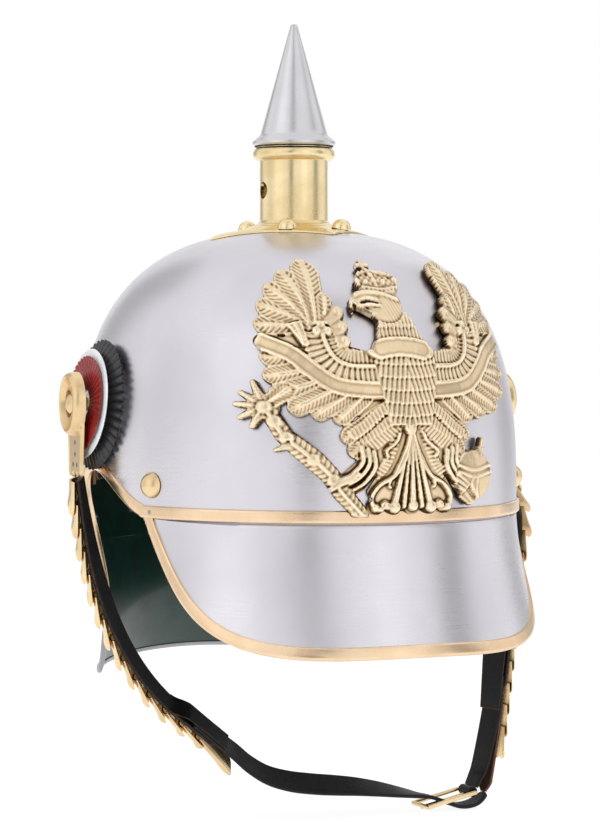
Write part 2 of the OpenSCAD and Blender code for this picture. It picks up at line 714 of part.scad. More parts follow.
// Front part of the shell between two levels
module front_patch(a, b) {
    cols = [for (i = [-13:13]) 5.2 * i];
    rows = [for (i = [0:12]) mix(0.8, crown_h * 0.885, i / 12)];
    sheet([for (p = cols) [for (z = rows) lift(p, z, b)]], [for (p = cols) [for (z = rows) lift(p, z, a)]]);
}

module eagle_plate() {
    color(BRASS)
    intersection() {
        front_patch(eagle_gap, eagle_gap + eagle_t);
        translate([0, -half_len * 0.45, 0]) rotate([90, 0, 0]) linear_extrude(half_len * 0.7) eagle_outline();
    }
}

module eagle_posts() {
    color(BRASS) for (e = eagle_post_at)
        wall_rod(phi_at(e[0], e[1]), e[1], 1.2, -sheet_t - 4, eagle_gap - 0.2);
}

module eagle_nuts() {
    color(BRASS) for (e = eagle_post_at) at_wall(phi_at(e[0], e[1]), e[1])
        translate([0, 0, -sheet_t - 2.8]) difference() {
            cylinder(r = 3.2, h = 2, $fn = 6);
            translate([0, 0, -1]) cylinder(r = 1.2 + fit / 2, h = 4, $fn = 24);
        }
}

// Cockades, posts and rosettes on the wearer's left; the right side is their mirror image

function polar(r, a, z) = [r * cos(a), r * sin(a), z];

// Ring of folds about the Z axis between two radii, each at its own height
module fluted_ring(r_in, z_in, r_out, z_out, deep, folds, thick) {
    n = folds * 2;
    cols = [for (i = [0:n - 1]) i * 360 / n];
    top = [for (i = [0:n - 1]) let (f = i % 2 * deep) [polar(r_in, cols[i], z_in - f * 0.3),
        polar(r_out - f * 0.8, cols[i], z_out - f)]];
    low = [for (i = [0:n - 1]) let (f = i % 2 * deep) [polar(r_in, cols[i], z_in - f * 0.3 - thick),
        polar(r_out - f * 0.8 - 0.6, cols[i], z_out - f - thick)]];
    ring_sheet(top, low);
}

module at_cockade() {
    translate([cockade_x, post_y, post_z]) rotate([0, 90, 0]) rotate([0, -cockade_tilt, 0]) children();
}

module cockade_ring() {
    at_cockade() translate([0, 0, -0.45]) fluted_ring(post_r + 6, 0, cockade_r, -2.9, 1.6, 28, 0.7);
}

module cockade_band() {
    at_cockade() translate([0, 0, -0.1]) difference() {
        cylinder(r = white_r, h = 0.6, $fn = 96);
        translate([0, 0, -1]) cylinder(r = post_r + 3, h = 4);
    }
}

module cockade_heart() {
    at_cockade() translate([0, 0, 1.9]) fluted_ring(post_r + 3.4, -0.2, heart_r, 0, 0.6, 24, 0.55);
}

module cockade_ring_left() {
    color(BLACK) cockade_ring();
}

module cockade_band_left() {
    color(WHITE) cockade_band();
}

module cockade_heart_left() {
    color(BLACK) cockade_heart();
}

module cockade_ring_right() {
    color(BLACK) mirror([1, 0, 0]) cockade_ring();
}

module cockade_band_right() {
    color(WHITE) mirror([1, 0, 0]) cockade_band();
}

module cockade_heart_right() {
    color(RED) mirror([1, 0, 0]) cockade_heart();
}

wall_x = half_wid * girth(post_z);

module along_x(x) {
    translate([x, post_y, post_z]) rotate([0, 90, 0]) children();
}

module side_posts() {
    inner = wall_x - sheet_t - 7;
    back = rosette_x - rosette_t;
    color(BRASS) both_sides() {
        along_x(inner) cylinder(r = post_r, h = rosette_x - 2 - inner);
        along_x(back - 0.9) cylinder(r = post_r + 2.4, h = 0.7);
    }
}

module side_nuts() {
    color(STEEL) both_sides() along_x(wall_x - sheet_t - 5.2) difference() {
        cylinder(r = post_r + 2.2, h = 3, $fn = 6);
        translate([0, 0, -1]) cylinder(r = post_r + fit / 2, h = 6);
    }
}

module side_screws() {
    color(BRASS) both_sides() along_x(rosette_x - 1.95) intersection() {
        cylinder(r = screw_r, h = 4);
        translate([0, 0, -4]) sphere(r = 6.3);
    }
}

module rosette_outline() {
    circle(r = rosette_r);
    low_x = rosette_tail - 2;
    half = rosette_end_w / 2 - 0.5;
    polygon([[0, -rosette_r + 2], [low_x, -half], [low_x, half], [0, rosette_r - 2]]);
    for (y = [-1, 0, 1]) translate([low_x, y * rosette_end_w / 3.1])
        circle(d = rosette_end_w / 2.9, $fn = 24);
}

module rosette() {
    floor_t = 1.5;
    difference() {
        along_x(rosette_x - rosette_t) union() {
            linear_extrude(floor_t) rosette_outline();
            difference() {
                cylinder(r = rosette_r, h = rosette_t);
                translate([0, 0, -1]) cylinder(r = rosette_r - 2.2, h = rosette_t + 2);
            }
            difference() {
                cylinder(r = 8, h = rosette_t - 1.5);
                translate([0, 0, -1]) cylinder(r = 6.4, h = rosette_t + 2);
            }
        }
        along_x(rosette_x - rosette_t - 1) cylinder(r = post_r + running, h = rosette_t + 2);
        for (p = [[14.5, 0], [21, 0], [27, -4], [27, 4]])
            along_x(rosette_x - rosette_t - 1) translate([p[0], p[1], 0]) cylinder(r = 1.1, h = 4, $fn = 24);
    }
}

module rosette_left() {
    color(BRASS) rosette();
}

module rosette_right() {
    color(BRASS) mirror([1, 0, 0]) rosette();
}

// The chains hang from the rosettes. Their lean is the angle from straight down towards the middle.

function lean(side, s) = side < 0 ? 9 + 42 * pow(min(1, s / 130), 1.8)
    : -30 + 35.2 * ramp((s - 6) / 34) + 5 * ramp((s - 125) / 30);

chain_steps = 46;
chain_ds = 4;
chain_top = [rosette_x - rosette_t + 0.2, chain_z];
stud_s = 157;

// Places on the face of the leather as [distance from the middle, height], every few millimetres
function chain_walk(side, k, p, out) = let (a = lean(side, (k + 0.5) * chain_ds))
    k > chain_steps ? out : chain_walk(side, k + 1, p - chain_ds * [sin(a), cos(a)], concat(out, [p]));
chain_right = chain_walk(-1, 0, chain_top, []);
chain_left = chain_walk(1, 0, chain_top, []);

function chain_at(side, s) = let (c = side < 0 ? chain_right : chain_left,
    u = min(chain_steps - 0.01, max(0, s / chain_ds)), i = floor(u)) mix(c[i], c[i + 1], u - i);

function width_at(s) = mix(scale_w, scale_end_w, min(1, s / (scale_step * (scale_count - 1))));

module place_on_chain(side, s) {
    p = chain_at(side, s);
    mirror([side < 0 ? 1 : 0, 0, 0]) translate([p[0], post_y, p[1]]) rotate([0, lean(side, s) + 180, 0])
        mirror([1, 0, 0]) children();
}

// One scale: a bent plate with a lobed end. Local Z runs down the chain and X points outwards.
module scale_plate(w, len, lobes) {
    bend_r = (w * w / 4 + scale_sag * scale_sag) / (2 * scale_sag);
    lobe = lobes > 1 ? w / lobes * 1.12 : w;
    next = lobes > 1 ? (w - lobe) / (lobes - 1) : 0;
    rise = scale_sag + hide_gap + 0.6;
    translate([rise, 0, 0]) rotate([0, scale_lean, 0]) intersection() {
        translate([-bend_r, 0, -1]) difference() {
            rotate(180) cylinder(r = bend_r, h = len + 2, $fn = 96);
            rotate(180) translate([0, 0, -1]) cylinder(r = bend_r - scale_t, h = len + 4, $fn = 96);
        }
        translate([-bend_r - 1, 0, 0]) rotate([90, 0, 90]) linear_extrude(bend_r * 2) union() {
            translate([-w / 2, 0]) square([w, len - lobe * 0.5]);
            for (i = [0:lobes - 1]) translate([i * next + (lobe - w) / 2, len - lobe * 0.5])
                circle(d = lobe, $fn = 24);
        }
        translate([-scale_sag - scale_t, -w, -1]) cube([scale_sag * 3, w * 2, len + 4]);
    }
}

module one_scale(side, i) {
    last = i == scale_count - 1;
    s = i * scale_step;
    if (i < scale_count - (side > 0 ? 1 : 0))
        place_on_chain(side, s) scale_plate(width_at(s), last ? scale_len * 1.7 : scale_len, last ? 1 : 3);
}

module scale_pair(side, n) {
    color(PALE_BRASS) for (i = [2 * n - 2, 2 * n - 1]) one_scale(side, i);
}

module scales_right_1() {
    scale_pair(-1, 1);
}

module scales_right_2() {
    scale_pair(-1, 2);
}

module scales_right_3() {
    scale_pair(-1, 3);
}

module scales_right_4() {
    scale_pair(-1, 4);
}

module scales_right_5() {
    scale_pair(-1, 5);
}

module scales_right_6() {
    scale_pair(-1, 6);
}

module scales_right_7() {
    scale_pair(-1, 7);
}

module scales_left_1() {
    scale_pair(1, 1);
}

module scales_left_2() {
    scale_pair(1, 2);
}

module scales_left_3() {
    scale_pair(1, 3);
}

module scales_left_4() {
    scale_pair(1, 4);
}

module scales_left_5() {
    scale_pair(1, 5);
}

module scales_left_6() {
    scale_pair(1, 6);
}

module scales_left_7() {
    scale_pair(1, 7);
}

// Leather strip under the scales, from its top behind the rosette to its end past the last scale
module backing(side, to) {
    n = 30;
    rings = [for (i = [0:n]) let (s = mix(0.4, to, i / n), a = lean(side, s), p = chain_at(side, s),
        out = [cos(a), 0, -sin(a)], w = [0, width_at(s) * 0.44 * min(1, 0.55 + (n - i) * 0.2), 0],
        c = [p[0], post_y, p[1]], face = out * 0.1, back = out * backing_t)
        [c + w - face, c - w - face, c - w - back, c + w - back]];
    mirror([side < 0 ? 1 : 0, 0, 0]) swept(rings, [[0, 1, 2], [0, 2, 3]]);
}

module backing_right() {
    color(LEATHER) backing(-1, 158);
}

module backing_left() {
    color(LEATHER) difference() {
        backing(1, 170);
        at_stud() translate([0, 0, -9]) cylinder(r = 1.2 + wall_hole, h = 12, $fn = 24);
    }
}

module at_stud() {
    p = chain_at(1, stud_s);
    translate([p[0], post_y, p[1]]) rotate([0, 90 + lean(1, stud_s), 0]) children();
}

// Strap as a ribbon through [x, z, twist] places; the twist turns the width up at the back
module ribbon(route, w, t) {
    last = len(route) - 1;
    rings = [for (i = [0:last]) let (r = route[i], a = route[max(0, i - 1)], b = route[min(last, i + 1)],
        dir = unit([b[0] - a[0], 0, b[1] - a[1]]), flat = [-dir[2], 0, dir[0]],
        wide = ([0, cos(r[2]), 0] + flat * sin(r[2])) * w / 2, thin = unit(cross(dir, wide)) * t / 2,
        c = [r[0], post_y, r[1]])
        [c + wide + thin, c - wide + thin, c - wide - thin, c + wide - thin]];
    swept(rings, [[0, 1, 2], [0, 2, 3]]);
}

// Place on the inner side of a leather, with room for a strap
function inside_at(side, s) = let (a = lean(side, s), p = chain_at(side, s),
    d = backing_t + strap_t / 2 + hide_gap)
    [side * (p[0] - d * cos(a)), p[1] + d * sin(a), 0];

// The long strap leaves the end of the right chain, hangs free under the chin and runs through the buckle.
// Its free places are [millimetres of a run of 105, height, twist], those by the buckle are from its middle.
strap_from = strap_free_in - rosette_x;
strap_to = buckle_mid[0] - 12.5;
free_places = [[0, -123.8, 8], [8, -130.6, 20], [18, -136.6, 32], [30, -140.4, 42], [43, -142.6, 46],
    [55, -144, 45], [67, -145.4, 38], [79, -147.3, 28], [89, -149.2, 18], [98, -151, 8], [105, -152.5, 0]];
buckle_places = [[-6.5, 0.5], [-0.5, -1.9], [5.5, -4.1], [11.5, -4.5], [17.5, -3.1], [23.5, 0.9]];
strap_route = concat([for (s = [138, 148, 157]) inside_at(-1, s)],
    [for (p = free_places) [mix(strap_from, strap_to, p[0] / 105), p[1], p[2]]],
    [for (p = buckle_places) [buckle_mid[0] + p[0], buckle_mid[2] + p[1], 0]]);

module chin_strap() {
    color(LEATHER)
    difference() {
        ribbon(strap_route, strap_w, strap_t);
        translate(buckle_mid - [6, wire_d / 2 + 0.5, 9.5]) cube([12, wire_d + 1, 16]);
    }
}

// The short strap runs from the buckle's bar to the end of the left chain
bar_x = buckle_mid[0] + bar_at * cos(buckle_turn);
bar_z = buckle_mid[2] + bar_at * sin(buckle_turn);

short_route = [[bar_x + 2.6, bar_z + 1.4, 0], [bar_x + 5, bar_z + 5, 0], inside_at(1, stud_s + 2),
    inside_at(1, stud_s - 6), inside_at(1, stud_s - 14), inside_at(1, stud_s - 22)];

module short_strap() {
    color(LEATHER) difference() {
        ribbon(short_route, strap_w, strap_t);
        at_stud() translate([0, 0, -9]) cylinder(r = 1.2 + wall_hole, h = 12, $fn = 24);
    }
}

module at_buckle() {
    translate(buckle_mid) rotate([0, -buckle_turn, 0]) children();
}

module buckle_frame() {
    l = buckle_l / 2 - wire_d / 2;
    w = buckle_w / 2 - wire_d / 2;
    color(BRASS) at_buckle() {
        for (s = [-1, 1]) {
            translate([s * l, -w, 0]) rotate([-90, 0, 0]) cylinder(d = wire_d, h = 2 * w, $fn = 24);
            translate([-l, s * w, 0]) rotate([0, 90, 0]) cylinder(d = wire_d, h = 2 * l, $fn = 24);
            for (k = [-1, 1]) translate([s * l, k * w, 0]) sphere(d = wire_d, $fn = 24);
        }
    }
}

module buckle_tongue() {
    eye = wire_d / 2 + running;
    color(BRASS) at_buckle() difference() {
        union() {
            translate([bar_at, -1.1, 0]) rotate([-90, 0, 0]) cylinder(r = eye + 0.9, h = 2.2, $fn = 32);
            translate([bar_at - tongue_len, 0, -eye]) rotate([0, 90, 0])
                cylinder(r = 0.9, h = tongue_len, $fn = 24);
        }
        translate([bar_at, -3, 0]) rotate([-90, 0, 0]) cylinder(r = eye, h = 6, $fn = 32);
        translate([-bar_at, -3, 0]) rotate([-90, 0, 0]) cylinder(r = eye + fit, h = 6, $fn = 32);
    }
}

module strap_stud() {
    color(BRASS) at_stud() rivet(6, 2.6, 1.2, -backing_t - strap_t - hide_gap - 0.8, 0.1);
}

// Leather liner inside the shell

liner_space = 0.8;
liner_far = sheet_t * 2 + lap + liner_space;
rivet_depth = liner_far + liner_t + 1.2;

module liner_band() {
    cols = [for (i = [0:55]) 360 * i / 56];
    lows = [for (p = cols) max(liner_low, edge_z(p) + 4)];
    levels = [0:3];
    color(BROWN)
    difference() {
        ring_sheet(
            [for (i = [0:55]) [for (j = levels) lift(cols[i], mix(lows[i], liner_top, j / 3), -liner_far)]],
            [for (i = [0:55]) [for (j = levels)
                lift(cols[i], mix(lows[i], liner_top, j / 3), -liner_far - liner_t)]]);
        both_sides() for (p = dome_phi) wall_rod(p, dome_z, 1.5 + wall_hole, -rivet_depth - 2, 2);
    }
}

// Tapering leather tongues that lean in from the sweatband towards the crown
tongue_rows = [0, 0.2, 0.4, 0.6, 0.8, 1];
tongue_top = crown_h * 0.74;

function tongue_half(t) = 360 / tongue_count * 0.42 * (1 - 0.35 * t);
function tongue_deep(t) = liner_far + 14 * t * t;
function tongue_point(mid, c, t, more) =
    lift(mid + c * tongue_half(t), mix(liner_top + 0.3, tongue_top, t), -tongue_deep(t) - more);

module liner_tongues() {
    color(BROWN) for (k = [0:tongue_count - 1]) {
        mid = (k + 0.5) * 360 / tongue_count;
        cols = [-1, -0.5, 0, 0.5, 1];
        sheet([for (c = cols) [for (t = tongue_rows) tongue_point(mid, c, t, 0)]],
            [for (c = cols) [for (t = tongue_rows) tongue_point(mid, c, t, liner_t * 0.8)]]);
    }
}

skull();
visor();
neck_guard();
front_band();
visor_trim();
ear_trim_right();
ear_trim_left();
guard_hem();
flat_rivets();
dome_rivets();
rivet_washers();
lap_rivets();
spike_base();
base_studs();
base_nuts();
spike_column();
spike_socket();
spike_washer();
spike_cone();
spike_stud();
eagle_plate();
eagle_posts();
eagle_nuts();
cockade_ring_right();
cockade_band_right();
cockade_heart_right();
cockade_ring_left();
cockade_band_left();
cockade_heart_left();
side_posts();
side_nuts();
side_screws();
rosette_right();
rosette_left();
scales_right_1();
scales_right_2();
scales_right_3();
scales_right_4();
scales_right_5();
scales_right_6();
scales_right_7();
scales_left_1();
scales_left_2();
scales_left_3();
scales_left_4();
scales_left_5();
scales_left_6();
scales_left_7();
backing_right();
backing_left();
chin_strap();
short_strap();
buckle_frame();
buckle_tongue();
strap_stud();
liner_band();
liner_tongues();
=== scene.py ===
import json
import logging
import math
from dataclasses import dataclass, field
from enum import Enum

import bpy
import numpy as np
from mathutils import Matrix, Vector

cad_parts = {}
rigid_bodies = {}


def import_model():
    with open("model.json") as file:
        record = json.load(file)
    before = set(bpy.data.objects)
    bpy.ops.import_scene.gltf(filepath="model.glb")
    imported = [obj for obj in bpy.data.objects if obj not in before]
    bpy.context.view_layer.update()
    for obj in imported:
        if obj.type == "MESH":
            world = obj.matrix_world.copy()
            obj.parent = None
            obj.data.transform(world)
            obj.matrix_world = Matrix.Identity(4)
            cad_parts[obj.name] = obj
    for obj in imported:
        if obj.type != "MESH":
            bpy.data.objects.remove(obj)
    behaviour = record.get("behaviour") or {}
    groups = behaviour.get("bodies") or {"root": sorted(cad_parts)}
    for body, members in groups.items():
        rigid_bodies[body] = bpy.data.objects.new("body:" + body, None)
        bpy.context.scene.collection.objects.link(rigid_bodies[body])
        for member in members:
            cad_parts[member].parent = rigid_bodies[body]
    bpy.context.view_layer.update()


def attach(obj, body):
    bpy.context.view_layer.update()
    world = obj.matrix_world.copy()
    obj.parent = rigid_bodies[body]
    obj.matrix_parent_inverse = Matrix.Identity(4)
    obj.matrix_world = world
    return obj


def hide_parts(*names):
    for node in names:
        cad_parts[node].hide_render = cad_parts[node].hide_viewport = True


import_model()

LOG = logging.getLogger("helmet")
MM = 0.001
PHOTO_HEIGHT = 840
# Axis of the side posts: how far it lies behind the spike's, and its height.
POST_Y, POST_Z = 3.0, 50.0
Array = np.ndarray
Pair = tuple[float, float]
Triple = tuple[float, float, float]
Colour = tuple[float, float, float, float]
Line = list[Pair]
Material = bpy.types.Material
Socket = bpy.types.NodeSocket


class Body(Enum):
    """Bodies of the frame that new pieces ride on."""

    HELMET = "helmet"
    CHAIN = "chin_chain"


class Side(Enum):
    """Side of the wearer, with the sign of its X."""

    RIGHT = -1
    LEFT = 1

    @property
    def word(self) -> str:
        """Side as it stands in node names."""
        return self.name.lower()


# Arrays and closed surfaces


def ramp(t: Array) -> Array:
    """Smooth step 3t² - 2t³ of t held between 0 and 1."""
    c = np.clip(t, 0.0, 1.0)
    return c * c * (3.0 - 2.0 * c)


def mix(a: Array, b: Array, t: Array) -> Array:
    """Straight blend from a at t = 0 to b at t = 1."""
    return a + (b - a) * t


def unit(v: Array) -> Array:
    """Vectors of length 1 along the last axis."""
    return v / np.maximum(np.linalg.norm(v, axis=-1, keepdims=True), 1e-12)


def joined(*parts: Array) -> Array:
    """One-dimensional arrays put end to end."""
    return np.concatenate([np.atleast_1d(np.asarray(p, float)) for p in parts])


def crowded(end: float, count: int, turn: float = 84.6) -> Array:
    """Numbers from -end to end, crowded towards both: a sine at even steps of a turn in degrees."""
    a = math.radians(turn)
    return end * np.sin(a * np.linspace(-1, 1, count)) / math.sin(a)


@dataclass
class Form:
    """Closed surface: points in millimetres and batches of faces with the finish that each takes.

    marks holds values per point, by name, that materials read as attributes.
    """

    points: Array
    batches: list[tuple[Array, int]]
    marks: dict[str, Array] = field(default_factory=dict)

    def volume(self) -> float:
        """Enclosed volume: sum over fans of triangles of a · (b × c) / 6."""
        total = 0.0
        for faces, _ in self.batches:
            a = self.points[faces[:, 0]]
            for k in range(1, faces.shape[1] - 1):
                b, c = self.points[faces[:, k]], self.points[faces[:, k + 1]]
                total += float(np.einsum("ij,ij->", a, np.cross(b, c)))
        return total / 6.0

    def outward(self) -> "Form":
        """Turns every face over where the volume comes out negative.

        Returns:
            The form itself.
        """
        if self.volume() < 0:
            self.batches = [(faces[:, ::-1], kind) for faces, kind in self.batches]
        return self

    def mirrored(self) -> "Form":
        """Copy with X turned to -X, facing outwards again."""
        flip = np.array([-1.0, 1.0, 1.0])
        return Form(self.points * flip, [(f[:, ::-1], k) for f, k in self.batches], dict(self.marks))

    def moved(self, matrix: Matrix) -> "Form":
        """Copy with its points carried by a 4 × 4 matrix in millimetres."""
        m = np.array(matrix)
        return Form(self.points @ m[:3, :3].T + m[:3, 3], self.batches, dict(self.marks))


def grid_quads(n: int, m: int, wrap_n: bool = False, wrap_m: bool = False) -> Array:
    """Quads between neighbouring points of an n by m grid.

    Args:
        n: points along the first index.
        m: points along the second index.
        wrap_n: whether the last row joins the first.
        wrap_m: whether the last column joins the first.

    Returns:
        Point numbers, four a face.
    """
    i = np.arange(n if wrap_n else n - 1)[:, None]
    j = np.arange(m if wrap_m else m - 1)[None, :]
    i2, j2 = (i + 1) % n, (j + 1) % m
    return np.stack([i * m + j, i2 * m + j, i2 * m + j2, i * m + j2], axis=-1).reshape(-1, 4)


def sheet_form(outer: Array, inner: Array, wrap: bool = False, inner_kind: int = 0) -> Form:
    """Closed sheet between two grids of the same size, joined along their free borders.

    Args:
        outer: n × m × 3 grid of the outer face.
        inner: n × m × 3 grid of the inner face.
        wrap: whether the columns close on themselves.
        inner_kind: finish number of the inner face.

    Returns:
        The sheet, facing outwards.
    """
    n, m = outer.shape[:2]
    k, e = n * m, m - 1
    face = grid_quads(n, m, wrap)
    i = np.arange(n if wrap else n - 1)
    a, b = i * m, (i + 1) % n * m
    rims = [np.stack([b, a, a + k, b + k], -1), np.stack([a + e, b + e, b + e + k, a + e + k], -1)]
    if not wrap:
        j = np.arange(m - 1)
        z = (n - 1) * m
        rims += [np.stack([j, j + 1, j + 1 + k, j + k], -1)]
        rims += [np.stack([z + j + 1, z + j, z + j + k, z + j + 1 + k], -1)]
    points = np.concatenate([outer.reshape(-1, 3), inner.reshape(-1, 3)])
    batches = [(face, 0), (face[:, ::-1] + k, inner_kind), (np.concatenate(rims), 0)]
    return Form(points, batches).outward()


def tube_form(rings: Array, kind: int = 0, open_loop: bool = True) -> Form:
    """Tube through rings of points, capped with fans from the middle of its end rings.

    Args:
        rings: n × m × 3 points, each ring closed on itself.
        kind: finish number.
        open_loop: False where the last ring joins the first and there are no caps.

    Returns:
        The tube, facing outwards.
    """
    n, m = rings.shape[:2]
    side = grid_quads(n, m, not open_loop, True)
    points = rings.reshape(-1, 3)
    batches = [(side, kind)]
    if open_loop:
        j = np.arange(m)
        q = (j + 1) % m
        z = (n - 1) * m
        first = np.stack([j, q, np.full(m, n * m)], -1)
        last = np.stack([z + q, z + j, np.full(m, n * m + 1)], -1)
        points = np.concatenate([points, rings[0].mean(0)[None], rings[-1].mean(0)[None]])
        batches.append((np.concatenate([first, last]), kind))
    return Form(points, batches).outward()


def lathe_form(profile: Array, turns: int = 128, kind: int = 0, solid: bool = False) -> Form:
    """Profile of [radius, height] turned about the Z axis.

    Args:
        profile: k × 2 points, a closed loop for a ring, or from one cap to the other for a solid.
        turns: points round the axis.
        kind: finish number.
        solid: True where the ends close on the axis, False for a ring.

    Returns:
        The turned form, facing outwards.
    """
    a = np.linspace(0, 2 * math.pi, turns, endpoint=False)
    r, z = profile[:, 0][:, None], profile[:, 1][:, None]
    rings = np.stack([r * np.cos(a), r * np.sin(a), z + 0 * a], -1)
    return tube_form(rings, kind, open_loop=solid)


def sweep(path: Array, across: Array, up: Array, profile: Array) -> Form:
    """Profile carried along a path: point = path + profile u × across + profile v × up.

    Args:
        path: n × 3 places.
        across: n × 3 directions of the profile's first size.
        up: n × 3 directions of its second size.
        profile: m × 2 closed loop, or n × m × 2 where it changes along the path.

    Returns:
        The swept solid.
    """
    prof = profile if profile.ndim == 3 else np.broadcast_to(profile, (len(path),) + profile.shape)
    rings = path[:, None] + prof[..., 0:1] * across[:, None] + prof[..., 1:2] * up[:, None]
    return tube_form(rings)


def smooth_path(points: Array, count: int) -> Array:
    """Catmull-Rom curve through points, with an even step.

    Args:
        points: k × d places.
        count: places that come out.

    Returns:
        count × d places.
    """
    p = np.concatenate([2 * points[:1] - points[1:2], points, 2 * points[-1:] - points[-2:-1]])
    t = np.linspace(0, len(points) - 1 - 1e-9, max(400, count * 4))
    i = t.astype(int)
    f = (t - i)[:, None]
    a, b, c, d = p[i], p[i + 1], p[i + 2], p[i + 3]
    fine = 0.5 * (2 * b + (c - a) * f + (2 * a - 5 * b + 4 * c - d) * f**2 + (3 * b - 3 * c + d - a) * f**3)
    run = joined(0, np.cumsum(np.linalg.norm(np.diff(fine, axis=0), axis=1)))
    at = np.linspace(0, run[-1], count)
    return np.stack([np.interp(at, run, fine[:, k]) for k in range(fine.shape[1])], -1)


def make_mesh(name: str, forms: list[Form], sharp: float) -> bpy.types.Mesh:
    """Mesh in metres from closed forms, smooth but for edges over an angle.

    Args:
        name: name of the mesh.
        forms: its parts.
        sharp: angle in degrees over which an edge stays sharp.

    Returns:
        The mesh.
    """
    loops, sizes, kinds, base = [], [], [], 0
    for form in forms:
        for faces, kind in form.batches:
            loops.append((faces + base).ravel())
            sizes.append(np.full(len(faces), faces.shape[1]))
            kinds.append(np.full(len(faces), kind))
        base += len(form.points)
    points = np.concatenate([f.points for f in forms]) * MM
    loops, sizes, kinds = (np.concatenate(x).astype(np.int32) for x in (loops, sizes, kinds))
    mesh = bpy.data.meshes.new(name)
    mesh.vertices.add(len(points))
    mesh.vertices.foreach_set("co", points.ravel().astype(np.float32))
    mesh.loops.add(len(loops))
    mesh.loops.foreach_set("vertex_index", loops)
    mesh.polygons.add(len(sizes))
    mesh.polygons.foreach_set("loop_start", np.concatenate([[0], np.cumsum(sizes)[:-1]]).astype(np.int32))
    mesh.polygons.foreach_set("material_index", kinds)
    mesh.polygons.foreach_set("use_smooth", np.ones(len(sizes), bool))
    mesh.update(calc_edges=True)
    mesh.validate()
    mesh.set_sharp_from_angle(angle=math.radians(sharp))
    for mark in sorted({m for f in forms for m in f.marks}):
        values = np.concatenate([f.marks.get(mark, np.zeros(len(f.points))) for f in forms])
        mesh.attributes.new(mark, "FLOAT", "POINT").data.foreach_set("value", values.astype(np.float32))
    return mesh


def add_piece(name: str, forms: list[Form], finishes: list[Material], node: str = "",
              sharp: float = 38.0, body: Body = Body.HELMET) -> None:
    """Adds a piece that rides on a body and stands for a CAD node.

    Args:
        name: name of the piece.
        forms: its closed forms.
        finishes: its materials, in the order of the forms' finish numbers.
        node: CAD node that it replaces, if any.
        sharp: angle in degrees over which an edge stays sharp.
        body: body that it rides on.
    """
    obj = bpy.data.objects.new(name, make_mesh(name, forms, sharp))
    bpy.context.scene.collection.objects.link(obj)
    for finish in finishes:
        obj.data.materials.append(finish)
    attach(obj, body.value)
    if node:
        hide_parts(node)
    LOG.info("%s: %d faces", name, len(obj.data.polygons))


# Finishes


class Nodes:
    """Node tree of one material, with its Principled shader."""

    def __init__(self, name: str, world: bool = False) -> None:
        """Starts a material with a plain Principled shader, or a world with a plain background.

        Args:
            name: its name.
            world: True for a world.
        """
        self.material = (bpy.data.worlds if world else bpy.data.materials).new(name)
        self.material.use_nodes = True
        self.tree = self.material.node_tree
        self.shader = self.tree.nodes["Background" if world else "Principled BSDF"]

    def feed(self, socket: Socket, value: object) -> None:
        """Links a socket to an input, or sets the input's value."""
        if isinstance(value, Socket):
            self.tree.links.new(value, socket)
        else:
            socket.default_value = value

    def add(self, kind: str, inputs: dict | None = None, **settings: object) -> bpy.types.Node:
        """Adds a node.

        Args:
            kind: type of the node without its ShaderNode start.
            inputs: values or sockets for its inputs, by name or number.
            settings: values of its own properties.

        Returns:
            The node.
        """
        node = self.tree.nodes.new("ShaderNode" + kind)
        for key, value in settings.items():
            setattr(node, key, value)
        for key, value in (inputs or {}).items():
            self.feed(node.inputs[key], value)
        return node

    def set(self, **values: object) -> None:
        """Sets sockets of the shader; a name's underscores stand for spaces.

        Args:
            values: a number, colour or socket for each input.
        """
        for key, value in values.items():
            self.feed(self.shader.inputs[key.replace("_", " ")], value)

    def place(self, scale: Triple) -> Socket:
        """Object coordinates times a scale for each axis."""
        coords = self.add("TexCoord")
        return self.add("Mapping", {"Vector": coords.outputs["Object"], "Scale": scale}).outputs[0]

    def noise(self, scale: float, detail: float = 3.0, stretch: Triple = (1, 1, 1),
              rough: float = 0.55) -> Socket:
        """Noise between 0 and 1 on Object coordinates.

        Args:
            scale: cells a metre.
            detail: octaves.
            stretch: scale for each axis.
            rough: share of the finer octaves.

        Returns:
            The noise's value.
        """
        inputs = {"Vector": self.place(stretch), "Scale": scale, "Detail": detail, "Roughness": rough}
        return self.add("TexNoise", inputs).outputs["Fac"]

    def range(self, value: Socket, low: float, high: float, to_low: float, to_high: float) -> Socket:
        """Value carried from one range to another and held there."""
        inputs = {"Value": value, "From Min": low, "From Max": high, "To Min": to_low, "To Max": to_high}
        return self.add("MapRange", inputs).outputs[0]

    def blend(self, factor: Socket, a: object, b: object) -> Socket:
        """Colour blend from a to b by a factor."""
        return self.add("Mix", {0: factor, 6: a, 7: b}, data_type="RGBA").outputs[2]

    def maths(self, operation: str, a: object, b: object = 0.0) -> Socket:
        """One sum of two values."""
        return self.add("Math", {0: a, 1: b}, operation=operation).outputs[0]

    def bump(self, height: Socket, strength: float, depth: float, under: Socket | None = None) -> Socket:
        """Bumped normal of a height, depth in metres."""
        inputs: dict = {"Height": height, "Strength": strength, "Distance": depth}
        if under is not None:
            inputs["Normal"] = under
        return self.add("Bump", inputs).outputs[0]

    def mark(self, name: str) -> Socket:
        """Value of a mesh attribute."""
        return self.add("Attribute", attribute_name=name).outputs["Fac"]

    def seen(self) -> Socket:
        """1 to camera, glossy and transmitted rays, 0 to all others."""
        rays = self.add("LightPath").outputs
        either = self.maths("MAXIMUM", rays["Is Glossy Ray"], rays["Is Transmission Ray"])
        return self.maths("MAXIMUM", rays["Is Camera Ray"], either)

    def glow(self, strength: float) -> Socket:
        """White light of a strength."""
        return self.add("Emission", {"Color": tint(1, 1, 1), "Strength": strength}).outputs[0]

    def show(self, shade: Socket) -> None:
        """Makes a shader the surface of the material."""
        self.tree.links.new(shade, self.tree.nodes["Material Output"].inputs["Surface"])


def tint(r: float, g: float, b: float) -> Colour:
    """Opaque colour."""
    return (r, g, b, 1.0)


